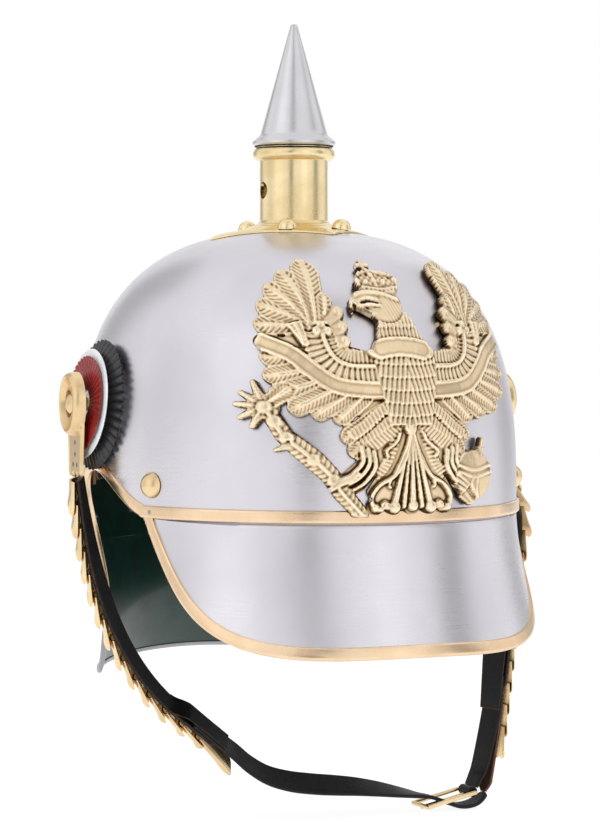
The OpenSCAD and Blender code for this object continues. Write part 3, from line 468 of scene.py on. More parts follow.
@dataclass(frozen=True)
class SteelFinish:
    """Polished steel with a fine grain of polishing marks and faint hand-worn clouds."""

    name: str = "polished_steel"
    light: Colour = tint(0.74, 0.722, 0.765)
    dark: Colour = tint(0.64, 0.622, 0.668)
    grain: Triple = (0.35, 0.35, 9.0)
    smooth: float = 0.27
    worn: float = 0.36

    def build(self) -> Material:
        """Makes the material.

        Returns:
            A metallic material: clouds vary its colour and roughness, and stretched noise cuts its grain.
        """
        n = Nodes(self.name)
        clouds = n.noise(14.0, 3.0)
        grain = n.noise(900.0, 4.0, self.grain, 0.7)
        streaks = n.noise(160.0, 3.0, self.grain)
        n.set(Base_Color=n.blend(n.range(clouds, 0.3, 0.7, 0, 1), self.light, self.dark), Metallic=1.0)
        rough = n.maths("ADD", n.range(clouds, 0.3, 0.7, self.smooth, self.worn),
                        n.range(streaks, 0.3, 0.7, -0.03, 0.03))
        n.set(Roughness=rough)
        n.set(Normal=n.bump(grain, 0.04, 0.0003))
        return n.material


@dataclass(frozen=True)
class BrassFinish:
    """Polished brass with polishing marks and a little tarnish."""

    name: str
    light: Colour
    dark: Colour
    smooth: float = 0.17
    worn: float = 0.3
    grain: Triple = (0.5, 0.5, 6.0)

    def build(self) -> Material:
        """Makes the material.

        Returns:
            A metallic material with tarnish clouds and fine marks.
        """
        n = Nodes(self.name)
        clouds = n.noise(45.0, 4.0)
        marks = n.noise(800.0, 3.0, self.grain, 0.6)
        specks = n.noise(420.0, 2.0)
        tone = n.maths("ADD", n.range(clouds, 0.35, 0.72, 0, 0.75), n.range(specks, 0.62, 0.8, 0, 0.35))
        n.set(Base_Color=n.blend(tone, self.light, self.dark), Metallic=1.0)
        n.set(Roughness=n.range(clouds, 0.3, 0.7, self.smooth, self.worn))
        n.set(Normal=n.bump(marks, 0.08, 0.0004))
        return n.material


@dataclass(frozen=True)
class GiltFinish:
    """Stamped gilt sheet: bright on its ridges and brown in its hollows, read from the mark hollow; the
    bright ridges are a painted highlight and the brown hollows a painted shade.
    """

    name: str = "stamped_gilt"
    # ridge is a painted highlight colour, field the plain gilt, hollow a painted shade colour.
    ridge: Colour = tint(0.98, 0.87, 0.67)
    field: Colour = tint(0.8, 0.61, 0.38)
    hollow: Colour = tint(0.07, 0.03, 0.01)

    def build(self) -> Material:
        """Makes the material.

        Returns:
            A metallic material whose colour and roughness follow the mark hollow; its colour holds a painted
            highlight on raised points and painted shade in recesses.
        """
        n = Nodes(self.name)
        deep = n.mark("hollow")
        clouds = n.noise(70.0, 4.0)
        fine = n.noise(1500.0, 3.0)
        # Painted highlight: points raised over their surroundings take the paler ridge colour.
        ridge_highlight_tone = n.blend(n.range(deep, -0.35, 0.08, 0, 1), self.ridge, self.field)
        # Painted shade: points sunk under their surroundings darken towards the near-black hollow colour; the
        # clouds add random tarnish.
        tone = n.maths("ADD", n.range(deep, 0.0, 0.4, 0, 0.97), n.range(clouds, 0.55, 0.8, 0, 0.16))
        n.set(Base_Color=n.blend(tone, ridge_highlight_tone, self.hollow), Metallic=1.0)
        n.set(Roughness=n.range(deep, -0.4, 0.5, 0.17, 0.55))
        n.set(Normal=n.bump(n.noise(150.0, 2.0), 0.6, 0.0016, n.bump(fine, 0.12, 0.0003)))
        return n.material


@dataclass(frozen=True)
class LeatherFinish:
    """Leather with pebbled grain and raw edges, read from the mark edge."""

    name: str
    face: Colour
    worn: Colour
    edge: Colour
    shine: float = 0.38
    grain: float = 1400.0

    def build(self) -> Material:
        """Makes the material.

        Returns:
            A leather of Voronoi pebbles and fine creases with its edge colour mixed in.
        """
        n = Nodes(self.name)
        clouds = n.noise(60.0, 4.0)
        creases = n.noise(380.0, 5.0, (1, 1, 1), 0.7)
        cells = n.add("TexVoronoi", {"Vector": n.place((1, 1, 1)), "Scale": self.grain}, feature="F1")
        edge = n.range(n.maths("ADD", n.mark("edge"), n.range(creases, 0.3, 0.7, -0.2, 0.2)), 0.35, 0.7, 0, 1)
        face = n.blend(n.range(clouds, 0.45, 0.75, 0, 1), self.face, self.worn)
        n.set(Base_Color=n.blend(edge, face, self.edge))
        n.set(Roughness=n.maths("ADD", n.range(clouds, 0.3, 0.7, self.shine - 0.06, self.shine + 0.14),
                                n.range(edge, 0, 1, 0, 0.25)))
        pebbles = n.bump(cells.outputs["Distance"], 0.25, 0.0002)
        n.set(Normal=n.bump(creases, 0.35, 0.0004, pebbles), Specular_IOR_Level=0.3)
        return n.material


@dataclass(frozen=True)
class PaintFinish:
    """Satin enamel on sheet metal with slight orange peel."""

    name: str
    light: Colour
    dark: Colour
    gloss: float = 0.3
    peel: float = 0.12

    def build(self) -> Material:
        """Makes the material.

        Returns:
            A dielectric paint with soft clouds of colour and roughness and a light coat.
        """
        n = Nodes(self.name)
        clouds = n.noise(90.0, 4.0)
        peel = n.noise(900.0, 2.0)
        n.set(Base_Color=n.blend(n.range(clouds, 0.35, 0.7, 0, 1), self.light, self.dark))
        n.set(Roughness=n.range(clouds, 0.3, 0.7, self.gloss, self.gloss + 0.12), Coat_Weight=0.25)
        n.set(Coat_Roughness=0.12, Normal=n.bump(peel, self.peel, 0.0003))
        return n.material


class Finishes:
    """All finishes of the helmet."""

    def __init__(self) -> None:
        """Builds every finish once."""
        self.steel = SteelFinish().build()
        self.spike_steel = SteelFinish("spike_steel", tint(0.76, 0.75, 0.78), tint(0.58, 0.575, 0.6),
                                       (1, 1, 0.6), 0.24, 0.33).build()
        self.bolt_steel = SteelFinish("bolt_steel", tint(0.38, 0.375, 0.39), tint(0.26, 0.255, 0.265),
                                      (1, 1, 1), 0.3, 0.45).build()
        self.brass = BrassFinish("column_brass", tint(0.92, 0.76, 0.46), tint(0.74, 0.56, 0.28)).build()
        self.trim_brass = BrassFinish("trim_brass", tint(0.9, 0.68, 0.46), tint(0.74, 0.51, 0.31),
                                      0.2).build()
        self.scale_brass = BrassFinish("scale_brass", tint(0.9, 0.7, 0.42), tint(0.66, 0.46, 0.24),
                                       0.2, 0.34).build()
        self.gilt = GiltFinish().build()
        self.black_leather = LeatherFinish("black_leather", tint(0.006, 0.0055, 0.006),
                                           tint(0.014, 0.012, 0.012), tint(0.13, 0.055, 0.024), 0.5).build()
        self.brown_leather = LeatherFinish("brown_leather", tint(0.075, 0.034, 0.02), tint(0.12, 0.06, 0.034),
                                           tint(0.24, 0.13, 0.07), 0.5, 1100.0).build()
        self.thread = PaintFinish("waxed_thread", tint(0.5, 0.42, 0.3), tint(0.36, 0.29, 0.2), 0.6,
                                  0.3).build()
        self.lining_green = PaintFinish("lining_green", tint(0.007, 0.042, 0.032),
                                        tint(0.005, 0.028, 0.021)).build()
        self.black = PaintFinish("black_enamel", tint(0.012, 0.012, 0.014), tint(0.022, 0.021, 0.024)).build()
        self.white = PaintFinish("white_enamel", tint(0.78, 0.78, 0.8), tint(0.66, 0.66, 0.68)).build()
        self.red = PaintFinish("red_enamel", tint(0.3, 0.016, 0.014), tint(0.2, 0.01, 0.01), 0.32).build()


# Shape of the shell


@dataclass(frozen=True)
class ShellShape:
    """Formulas of the steel shell, from which every piece on it takes its place."""

    crown_h: float = 135.0
    half_len: float = 127.0
    half_wid: float = 105.5
    crown_pow: float = 2.95
    side_pow: float = 2.65
    side_tuck: float = 15.0
    nape_tuck: float = 18.0
    tuck_top: float = 40.0
    nape_z: float = -45.0
    guard_z: float = -87.0
    guard_flare: float = 3.0
    guard_rise: float = 3.0
    corner_r: float = 9.0
    arch_h: float = 18.3
    lap_z: float = -22.0
    front_low: float = -2.6
    ear_mid: float = 92.0
    arch_from: float = 67.0
    arch_to: float = 109.5
    arch_drop: float = 40.3

    def fold(self, phi: Array) -> Array:
        """Angle from the front to either side."""
        p = np.mod(phi, 360.0)
        return np.where(p > 180.0, 360.0 - p, p)

    def girth(self, z: Array) -> Array:
        """Share of the full width at a height: (1 - (z/crown)^a)^(1/b)."""
        s = np.clip(z, 0, self.crown_h) / self.crown_h
        return np.power(np.maximum(0.0, 1.0 - s**self.crown_pow), 1.0 / self.side_pow)

    def halves(self, phi: Array, z: Array) -> tuple[Array, Array]:
        """Half width and half length: each times the girth, drawn in at sides and nape behind the ears."""
        g = self.girth(z)
        r = ramp((self.fold(phi) - 72.0) / 40.0)
        side = self.side_tuck * ramp((self.tuck_top - z) / 100.0)
        low = np.clip((self.nape_z - z) / (self.nape_z - self.guard_z), 0.0, 1.0)
        nape = self.nape_tuck * ramp((self.tuck_top - 5.0 - z) / 85.0)
        nape = nape - (self.nape_tuck + self.guard_flare) * low**1.8
        return self.half_wid * g - r * side, self.half_len * g - r * nape

    def wall(self, phi: Array, z: Array) -> Array:
        """Point on the outer face of the shell: the oval (wide sin a, -long cos a) at a height.

        Args:
            phi: angle from the front.
            z: height.

        Returns:
            Points with their last axis x, y, z.
        """
        phi, z = np.broadcast_arrays(np.asarray(phi, float), np.asarray(z, float))
        wide, long = self.halves(phi, z)
        a = np.radians(phi)
        return np.stack([wide * np.sin(a), -long * np.cos(a), z], -1)

    def normal(self, phi: Array, z: Array) -> Array:
        """Outward direction of the wall, from differences along both parameters."""
        z = np.asarray(z, float)
        along = self.wall(phi + 0.5, z) - self.wall(phi - 0.5, z)
        up = self.wall(phi, z) - self.wall(phi, z - 0.05)
        return unit(np.cross(along, up))

    def lift(self, phi: Array, z: Array, off: Array) -> Array:
        """Wall point moved outwards by a distance."""
        phi, z = np.broadcast_arrays(np.asarray(phi, float), np.asarray(z, float))
        return self.wall(phi, z) + np.asarray(off)[..., None] * self.normal(phi, z)

    def edge_z(self, phi: Array) -> Array:
        """Height of the shell's lower edge: level in front, an arch over the ear, level behind."""
        p = self.fold(phi)
        rise = mix(self.front_low, self.arch_h, ramp((p - self.arch_from) / (self.ear_mid - self.arch_from)))
        s = np.clip((p - self.ear_mid) / (self.arch_to - self.ear_mid), 0.0, 1.0)
        fall = self.arch_h - self.arch_drop * (1.0 - np.sqrt(1.0 - s * s))
        return np.where(p < self.ear_mid, rise, np.where(p < self.arch_to, fall, self.lap_z))

    def guard_phi(self, z: Array) -> Array:
        """Angle of the neck guard's front edge at a height, with its round lower corner."""
        z = np.asarray(z, float)
        s = np.clip((z - self.lap_z) / self.arch_drop, 0.0, 1.0)
        upper = self.ear_mid + (self.arch_to - self.ear_mid) * np.sqrt(1.0 - s * s)
        c = np.clip((self.guard_z + self.corner_r - z) / self.corner_r, 0.0, 1.0)
        turn = self.corner_r / (self.half_wid - self.side_tuck) * 57.3
        lower = self.arch_to + (self.lap_z - z) * 0.02 + turn * (1.0 - np.sqrt(1.0 - c * c))
        return np.where(z > self.lap_z, upper, lower)

    def guard_h(self, phi: Array, z: Array) -> Array:
        """Real height of a guard point: its edge rises towards the middle of the nape."""
        share = ramp((self.fold(phi) - 119.0) / 61.0) * np.clip((z + 40.0) / (self.guard_z + 40.0), 0.0, 1.0)
        return z + self.guard_rise * share

    def crown_z(self, x: Array, y: Array) -> Array:
        """Height of the crown over a place near the axis."""
        d = np.hypot(x / self.half_wid, y / self.half_len)
        return self.crown_h * np.power(1.0 - np.power(d, self.side_pow), 1.0 / self.crown_pow)

    def at_front(self, x: Array, z: Array, off: Array) -> tuple[Array, Array]:
        """Angle and height on the wall whose lifted point has a given x and z.

        Args:
            x: wanted distance to the wearer's left.
            z: wanted height.
            off: lift of the point.

        Returns:
            The angle and the height, after five rounds of correction.
        """
        zz = np.array(z, float)
        phi = np.degrees(np.arcsin(np.clip(x / (self.half_wid * self.girth(zz)), -0.98, 0.98)))
        for _ in range(5):
            p = self.lift(phi, zz, off)
            reach = self.half_wid * self.girth(zz) * np.cos(np.radians(phi)) * math.pi / 180.0
            phi = phi + (x - p[..., 0]) / np.maximum(reach, 0.2)
            zz = np.clip(zz + (z - p[..., 2]), 0.0, self.crown_h * 0.97)
        return phi, zz


SHAPE = ShellShape()


def bound_edge(path: Array, outward: Array, low: Array, high: Array, wide: float, thick: float,
               settle: Array | None = None) -> Form:
    """Rolled binding over the edge of a sheet, a rounded channel profile carried along the edge.

    Args:
        path: n × 3 places along the sheet's edge.
        outward: n × 3 directions square to the sheet.
        low: level of the sheet's inner face, per place.
        high: level of its outer face, per place.
        wide: width of the binding.
        thick: thickness of its metal.
        settle: n × 3 places inside the sheet that the binding leans towards.

    Returns:
        The binding.
    """
    along = unit(np.gradient(path, axis=0))
    inside = unit((settle if settle is not None else path + wide * np.cross(outward, along)) - path)
    up = unit(np.cross(along, inside))
    t = thick + 0.35
    reach = np.array([wide, wide, wide - 0.35, wide - 1.0, 1.2, 0.2, -0.6, -0.95])
    rise = joined(0.05, t * np.array([0.6, 0.9, 1.0, 1.0, 0.92, 0.55, 0.0]))
    reach = np.tile(joined(reach, reach[::-1]), (len(path), 1))
    levels = np.concatenate([high[:, None] + rise, low[:, None] - rise[::-1]], 1)
    return sweep(path, inside, up, np.stack([reach, levels], -1))


@dataclass
class SteelShell:
    """Skull, visor and neck guard of one steel sheet each, lacquered green inside, and their bindings."""

    finishes: Finishes
    sheet: float = 1.2
    lap: float = 0.15
    crown_angle: float = 88.06
    shoulder: float = 56.0
    visor_h: float = 62.8
    visor_out: float = 12.3
    peak_out: float = 2.0
    visor_corner: float = 70.0
    visor_top: float = -2.8
    flange: float = 9.0
    flange_set: float = 1.6
    guard_top: float = 2.0
    brass_end: float = -52.0
    band_half: float = 3.0
    bind_w: float = 5.0
    bind_t: float = 0.7

    def skull(self) -> Form:
        """Dome of the wall formula: columns round the head, rows from the edge to the crown hole.

        Above the shoulder a row's height is crown × sin(a)^(2/power), for even rows round the crown.

        Returns:
            The skull, its inner face with finish 1.
        """
        ear = SHAPE.ear_mid + (SHAPE.arch_to - SHAPE.ear_mid) * np.sin(np.radians(np.linspace(0, 90, 22)))
        half = joined(np.arange(0, 67, 1.5), np.arange(67, 91.5, 1.3), ear, np.arange(111, 180, 1.5))
        phi = joined(half, 180.0, 360.0 - half[:0:-1])[:, None]
        low = SHAPE.edge_z(phi)
        lower = mix(low, self.shoulder, np.linspace(0, 1, 26)[None])
        start = math.degrees(math.asin((self.shoulder / SHAPE.crown_h) ** (SHAPE.crown_pow / 2)))
        a = np.radians(np.linspace(start, self.crown_angle, 50)[1:])
        upper = SHAPE.crown_h * np.sin(a) ** (2 / SHAPE.crown_pow)
        z = np.concatenate([lower, np.broadcast_to(upper, (len(phi), len(upper)))], 1)
        return sheet_form(SHAPE.lift(phi, z, 0.0 * z), SHAPE.lift(phi, z, -self.sheet + 0 * z), True, 1)

    def brim(self, phi: Array, s: Array) -> Array:
        """Point of the visor's outer face, s from 0 at the band to 1 at the edge.

        The shell's front oval moved out by a reach × s^1.5 and down to a depth that falls to the corners.
        """
        phi, s = np.broadcast_arrays(np.asarray(phi, float), np.asarray(s, float))
        q = np.minimum(1.0, np.abs(phi) / self.visor_corner)
        reach = self.visor_out * (1 - q**6) ** 3 + self.peak_out * (1 - q * q) ** 2
        depth = (self.visor_h + 0.28 * self.visor_h * q * q) * (1 - q**3.5)
        low = -np.maximum(depth, 4.4 - self.visor_top / 2)
        a = np.radians(phi)
        out = unit(np.stack([np.sin(a) / SHAPE.half_wid, -np.cos(a) / SHAPE.half_len, 0 * a], -1))
        p = SHAPE.wall(phi, 0 * phi) + out * (reach * s**1.5 - 0.2)[..., None]
        p[..., 2] = mix(self.visor_top, low, s)
        return p

    def brim_normal(self, phi: Array, s: Array) -> Array:
        """Outward direction of the visor, from differences along both parameters."""
        across = self.brim(phi + 0.4, s) - self.brim(phi - 0.4, s)
        return unit(np.cross(across, self.brim(phi, s - 0.02) - self.brim(phi, s + 0.02)))

    def visor(self) -> Form:
        """Visor: a flange inside the skull, then the brim surface, thickened inwards by the sheet.

        Returns:
            The visor, its inner face with finish 1.
        """
        phi = crowded(self.visor_corner - 0.8, 181)[:, None]
        z = (self.visor_top + self.flange * np.linspace(1, 0, 4))[None] + 0 * phi
        s = np.linspace(0.03, 1, 44)[None] + 0 * phi
        top = SHAPE.lift(phi, z, -self.flange_set + 0 * z)
        top_in = SHAPE.lift(phi, z, -self.flange_set - self.sheet + 0 * z)
        face = self.brim(phi, s)
        inner = face - self.sheet * self.brim_normal(phi, s)
        return sheet_form(np.concatenate([top, face], 1), np.concatenate([top_in, inner], 1), False, 1)

    def neck_guard(self) -> Form:
        """Neck guard: the wall from its curved front edges round the nape, lapped over the skull.

        Returns:
            The guard, its inner face with finish 1.
        """
        t = np.linspace(0, 1, 181)[:, None]
        turn = np.sin(np.radians(np.linspace(0, 90, 12)[1:]))
        z = joined(np.linspace(self.guard_top, SHAPE.lap_z, 14)[:-1],
                   np.linspace(SHAPE.lap_z, SHAPE.guard_z + SHAPE.corner_r, 26),
                   SHAPE.guard_z + SHAPE.corner_r - SHAPE.corner_r * turn)[None]
        a = SHAPE.guard_phi(z)
        phi = mix(a, 360 - a, t)
        h = SHAPE.guard_h(phi, z + 0 * phi)
        outer = SHAPE.lift(phi, h, self.lap + self.sheet + 0 * h)
        return sheet_form(outer, SHAPE.lift(phi, h, self.lap + 0 * h), False, 1)

    def front_band(self) -> Form:
        """Half-round band over the joint of skull and visor, a low arch profile carried round the front."""
        end = self.visor_corner + 0.4
        phi = joined(np.linspace(-end, -end + 1.2, 8)[:-1], np.linspace(-end + 1.2, end - 1.2, 171),
                     np.linspace(end - 1.2, end, 8)[1:])
        path, up = SHAPE.wall(phi, 0 * phi), np.tile([0.0, 0.0, 1.0], (len(phi), 1))
        t = np.linspace(-1, 1, 15)
        arch = np.stack([self.band_half * t, 0.5 + 0.85 * np.sqrt(np.maximum(0, 1 - t**6))], -1)
        profile = np.concatenate([arch, [[self.band_half, self.lap], [-self.band_half, self.lap]]])
        near = np.clip((end - np.abs(phi)) / 1.2, 0, 1)
        narrow = (0.72 + 0.28 * np.sqrt(1 - (1 - near) ** 2))[:, None]
        shape = np.stack([profile[:, 0] * narrow, profile[:, 1] + 0 * narrow], -1)
        return sweep(path, up, SHAPE.normal(phi, 0 * phi), shape)

    def visor_trim(self) -> Form:
        """Brass binding of the visor's edge."""
        end = self.visor_corner - 2.3
        main, f = crowded(end, 221), np.linspace(0, 1, 9)[1:]
        past, climb = end + 1.5 * f, 1 - 0.88 * f**1.6
        phi = joined(-past[::-1], main, past)
        s = joined(climb[::-1], np.ones(len(main)), climb)
        return bound_edge(self.brim(phi, s), self.brim_normal(phi, 0.97 * s), 0 * s - self.sheet, 0 * s,
                          self.bind_w, self.bind_t)

    def beside(self, path: Array, outward: Array, phi: Array) -> Array:
        """Places on the wall one binding's width inside a path along its edge.

        Args:
            path: n × 3 places.
            outward: n × 3 directions square to the wall.
            phi: their angles.

        Returns:
            n × 3 places.
        """
        q = path + self.bind_w * np.cross(outward, unit(np.gradient(path, axis=0)))
        halves = SHAPE.halves(phi, q[:, 2])
        return SHAPE.wall(np.degrees(np.arctan2(q[:, 0] / halves[0], -q[:, 1] / halves[1])), q[:, 2])

    def ear_trim(self) -> Form:
        """Brass binding on the wearer's left, from the visor's corner over the ear and down the guard."""
        p = np.linspace(self.visor_corner - 0.8, SHAPE.ear_mid, 44)
        a = np.radians(np.linspace(0, 90, 50)[1:])
        z = np.linspace(SHAPE.lap_z, self.brass_end, 24)[1:]
        phi = joined(p, SHAPE.ear_mid + (SHAPE.arch_to - SHAPE.ear_mid) * np.sin(a), SHAPE.guard_phi(z))
        height = joined(SHAPE.edge_z(p), SHAPE.lap_z + SHAPE.arch_drop * np.cos(a), z)
        path, out = SHAPE.wall(phi, height), SHAPE.normal(phi, height)
        level = np.where(phi < SHAPE.ear_mid, SHAPE.arch_h, height)
        share = ramp((SHAPE.arch_h - 2 - level) / (SHAPE.arch_h - 4 - self.guard_top))
        lift = (self.lap + self.sheet) * share
        return bound_edge(path, out, -self.sheet + 0 * lift, lift, self.bind_w, self.bind_t,
                          self.beside(path, out, phi))

    def guard_hem(self) -> Form:
        """Turned steel hem along the neck guard's lower edge and round its corners."""
        z = np.linspace(self.brass_end - 0.8, SHAPE.guard_z + SHAPE.corner_r, 18)
        turn = SHAPE.guard_z + SHAPE.corner_r * (1 - np.sin(np.radians(np.linspace(0, 90, 16)[1:])))
        side_z = joined(z, turn)
        side_phi = SHAPE.guard_phi(side_z)
        mid = np.linspace(side_phi[-1], 360 - side_phi[-1], 200)[1:-1]
        phi = joined(side_phi, mid, 360 - side_phi[::-1])
        flat = joined(side_z, np.full(len(mid), SHAPE.guard_z), side_z[::-1])
        h = SHAPE.guard_h(phi, flat)
        path, out = SHAPE.wall(phi, h), SHAPE.normal(phi, h)
        one = np.ones_like(h)
        return bound_edge(path, out, self.lap * one, (self.lap + self.sheet) * one, 2.0, 0.35,
                          self.beside(path, out, phi))

    def build(self) -> None:
        """Adds the shell's pieces."""
        f = self.finishes
        steel, trim, left = [f.steel, f.lining_green], [f.trim_brass], self.ear_trim()
        for name, form, finishes, slot, node in (
                ("skull_shell", self.skull(), steel, "steel", "skull"),
                ("visor_shell", self.visor(), steel, "steel", "visor"),
                ("neck_guard_shell", self.neck_guard(), steel, "steel", "neck_guard"),
                ("joint_band", self.front_band(), trim, "brass", "front_band"),
                ("visor_binding", self.visor_trim(), trim, "brass", "visor_trim"),
                ("ear_binding_left", left, trim, "brass", "ear_trim_left"),
                ("ear_binding_right", left.mirrored(), trim, "brass", "ear_trim_right"),
                ("guard_edge_hem", self.guard_hem(), [f.bolt_steel], "steel", "guard_hem")):
            add_piece(name, [form], finishes, node)


@dataclass
class SpikeMount:
    """Brass base plate under the spike: a diamond with drawn-in edges and a raised collar."""

    finishes: Finishes
    tip_reach: float = 46.0
    thick: float = 1.2
    gap: float = 0.2
    collar_end: float = 26.2
    collar_h: float = 1.6

    def reach(self, a: Array) -> Array:
        """Distance from the axis to the diamond's edge: the lesser of a straight side and a shallow arc."""
        straight = self.tip_reach / (np.abs(np.cos(a)) + np.abs(np.sin(a)))
        arc_r, far = self.tip_reach * 4, self.tip_reach * 4.68
        d = np.mod(a, math.pi / 2) - math.pi / 4
        arc = far * np.cos(d) - np.sqrt(arc_r**2 - (far * np.sin(d)) ** 2)
        return np.minimum(straight, arc) - 0.5 * np.exp(-(((np.abs(d) - math.pi / 4) / 0.02) ** 2))

    def plate(self) -> Form:
        """Plate: polar grid on the crown's height plus its thickness and the collar's bump.

        Returns:
            The closed plate.
        """
        a = np.linspace(0, 2 * math.pi, 320, endpoint=False)[:, None]
        end = self.reach(a)
        inner = np.array([15.2, 18, 20.4, 20.45, 20.9, 21.4, 22, 22.8, 23.6, 24.4, 25.3, 26.2, 27.2, 28.4,
                          29.6])
        t = joined(np.linspace(0, 0.93, 12)[1:], 0.97, 0.99, 1.0)
        r = np.concatenate([np.broadcast_to(inner, (len(a), len(inner))), mix(29.6, end, t[None])], 1)
        x, y = r * np.cos(a), r * np.sin(a)
        base = SHAPE.crown_z(x, y) + self.gap
        bump = self.collar_h * ramp((self.collar_end - r) / (self.collar_end - 21.6)) * (r > 20.42)
        edge = 0.45 * ramp((r / end - 0.96) / 0.04)
        top = np.stack([x, y, base + self.thick + bump - edge], -1)
        return sheet_form(top, np.stack([x, y, base], -1), True)

    def build(self) -> None:
        """Adds the plate."""
        add_piece("spike_base_plate", [self.plate()], [self.finishes.brass], "spike_base")


# The eagle plate


class Relief:
    """Height field of a stamped plate over the front of the shell.

    Shapes are laid over each other on a grid of x and z. reach is the distance to the outline, less than
    nothing inside it, and height is the lift of the front face over the plate's back.
    """

    def __init__(self, low: Pair, high: Pair, step: float) -> None:
        """Starts an empty field.

        Args:
            low: lowest x and z.
            high: highest x and z.
            step: distance between grid points.
        """
        self.step = step
        x = np.arange(low[0], high[0], step)
        z = np.arange(low[1], high[1], step)
        self.x, self.z = np.meshgrid(x, z, indexing="ij")
        self.side = 1
        self.reach = np.full(self.x.shape, 99.0)
        self.height = np.zeros(self.x.shape)

    def face(self, side: int) -> None:
        """Draws what follows as given for side 1, or with its X mirrored for side -1."""
        self.x, self.side = self.x * side * self.side, side

    def include(self, reach: Array) -> None:
        """Adds a shape to the outline: the lesser of two distances."""
        self.reach = np.minimum(self.reach, reach)

    def disc(self, at: Pair, r: float) -> Array:
        """Signed distance to a circle."""
        return np.hypot(self.x - at[0], self.z - at[1]) - r

    def capsule(self, a: Pair, b: Pair, w0: float, w1: float) -> tuple[Array, Array, Array]:
        """Local places of a tapering round-ended shape.

        Args:
            a: root.
            b: middle of the round tip.
            w0: width at the root.
            w1: width at the tip.

        Returns:
            Share of the length, signed distance from the middle over the half width, distance to its edge.
        """
        p, q = np.array(a), np.array(b)
        d = q - p
        long = float(np.hypot(*d))
        d = d / long
        dx, dz = self.x - p[0], self.z - p[1]
        t = (dx * d[0] + dz * d[1]) / long
        s = dx * -d[1] + dz * d[0]
        half = mix(w0, w1, np.clip(t, 0, 1)) / 2
        past = np.hypot(self.x - q[0], self.z - q[1]) - w1 / 2
        beside = np.abs(s) - half
        edge = np.where(t > 1, past, np.where(t < 0, np.maximum(beside, -t * long), beside))
        return t * long / (long + w1 / 2), s / np.maximum(half, 0.1), edge

    def rod(self, a: Pair, b: Pair, w0: float, w1: float) -> None:
        """Adds a tapering round-ended shape to the outline."""
        self.include(self.capsule(a, b, w0, w1)[2])

    def polygon(self, points: Line) -> Array:
        """Signed distance to a polygon: nearest side, less than nothing inside by the crossing rule."""
        p = np.array(points)
        best = np.full(self.x.shape, 1e9)
        inside = np.zeros(self.x.shape, bool)
        for a, b in zip(p, np.roll(p, -1, axis=0)):
            d = b - a
            t = np.clip(((self.x - a[0]) * d[0] + (self.z - a[1]) * d[1]) / (d @ d), 0, 1)
            best = np.minimum(best, np.hypot(self.x - a[0] - t * d[0], self.z - a[1] - t * d[1]))
            rise = (a[1] > self.z) != (b[1] > self.z)
            cut = a[0] + (self.z - a[1]) / (d[1] if abs(d[1]) > 1e-9 else 1e-9) * d[0]
            inside ^= rise & (self.x < cut)
        return np.where(inside, -best, best)

    def along(self, points: Line, count: int = 40) -> tuple[Array, Array, float]:
        """Place of every grid point beside a smooth line.

        Args:
            points: places of the line.
            count: straight pieces that stand for it.

        Returns:
            Distance run along the line, signed distance from it (more than nothing on its left), its length.
        """
        p = smooth_path(np.array(points, float), count)
        run = joined(0, np.cumsum(np.linalg.norm(np.diff(p, axis=0), axis=1)))
        best = np.full(self.x.shape, 1e9)
        s, side = np.zeros(self.x.shape), np.zeros(self.x.shape)
        for k in range(len(p) - 1):
            a, d = p[k], p[k + 1] - p[k]
            long = float(np.hypot(*d))
            u = ((self.x - a[0]) * d[0] + (self.z - a[1]) * d[1]) / (long * long)
            t = np.clip(u, 0, 1)
            dx, dz = self.x - a[0] - t * d[0], self.z - a[1] - t * d[1]
            dist = np.hypot(dx, dz)
            near = dist < best
            best = np.where(near, dist, best)
            s = np.where(near, run[k] + t * long, s)
            side = np.where(near, np.sign(d[0] * dz - d[1] * dx + 1e-12) * dist, side)
        return s, side, float(run[-1])

    def lay(self, where: Array, height: Array) -> None:
        """Lays a shape over what is there."""
        self.height = np.where(where, height, self.height)

    def raise_to(self, where: Array, height: Array) -> None:
        """Raises a shape through what is there: the greater of two heights."""
        self.height = np.where(where, np.maximum(self.height, height), self.height)

    def feather(self, a: Pair, b: Pair, w0: float, w1: float, level: float, barb: float = 1.9,
                deep: float = 1.0, shaft: float = 0.9, smooth: bool = False) -> None:
        """Lays a feather: an arched leaf with a border, a shaft and slanting barbs.

        Its height is level + arch √(1 - s²) + shaft bump - barb grooves, which are a sine of the run plus
        the slant |s|.

        Args:
            a: root.
            b: middle of its round tip.
            w0: width at the root.
            w1: width at the tip.
            level: lift of its edge.
            barb: distance between barbs.
            deep: depth of the grooves.
            shaft: height of the shaft.
            smooth: True for a bare leaf.
        """
        t, s, edge = self.capsule(a, b, w0, w1)
        long = math.dist(a, b) + w1 / 2
        inside = edge < 0
        n = np.clip(s, -1, 1)
        height = level + 0.35 * t + (1.0 if smooth else 0.45) * np.sqrt(1 - n * n)
        if not smooth:
            groove = 0.5 - 0.5 * np.cos(2 * math.pi * (t * long - 0.62 * np.abs(n) * w1 / 2 * 1.6) / barb)
            inner = ramp((np.abs(n) - 0.16) / 0.12) * ramp((-edge - 0.55) / 0.5) * ramp(t / 0.08)
            height = height - deep * groove**1.4 * inner
            spine = shaft * np.exp(-((n * np.maximum(0.4, 1.1 - t) / 0.2) ** 2))
            height = height + spine * ramp((0.9 - t) / 0.12)
            height = height + 0.3 * np.exp(-(((edge + 0.5) / 0.35) ** 2))
        self.lay(inside, height)

    def ridge(self, points: Line, wide: float, level: float, tall: float,
              end_wide: float | None = None) -> None:
        """Raises a round ridge along a smooth line, level + tall √(1 - (d/w)²)."""
        s, d, long = self.along(points)
        w = mix(wide, wide if end_wide is None else end_wide, s / long)
        n = np.abs(d) / (w / 2)
        self.raise_to(n < 1, level + tall * np.sqrt(np.maximum(0, 1 - n * n)))

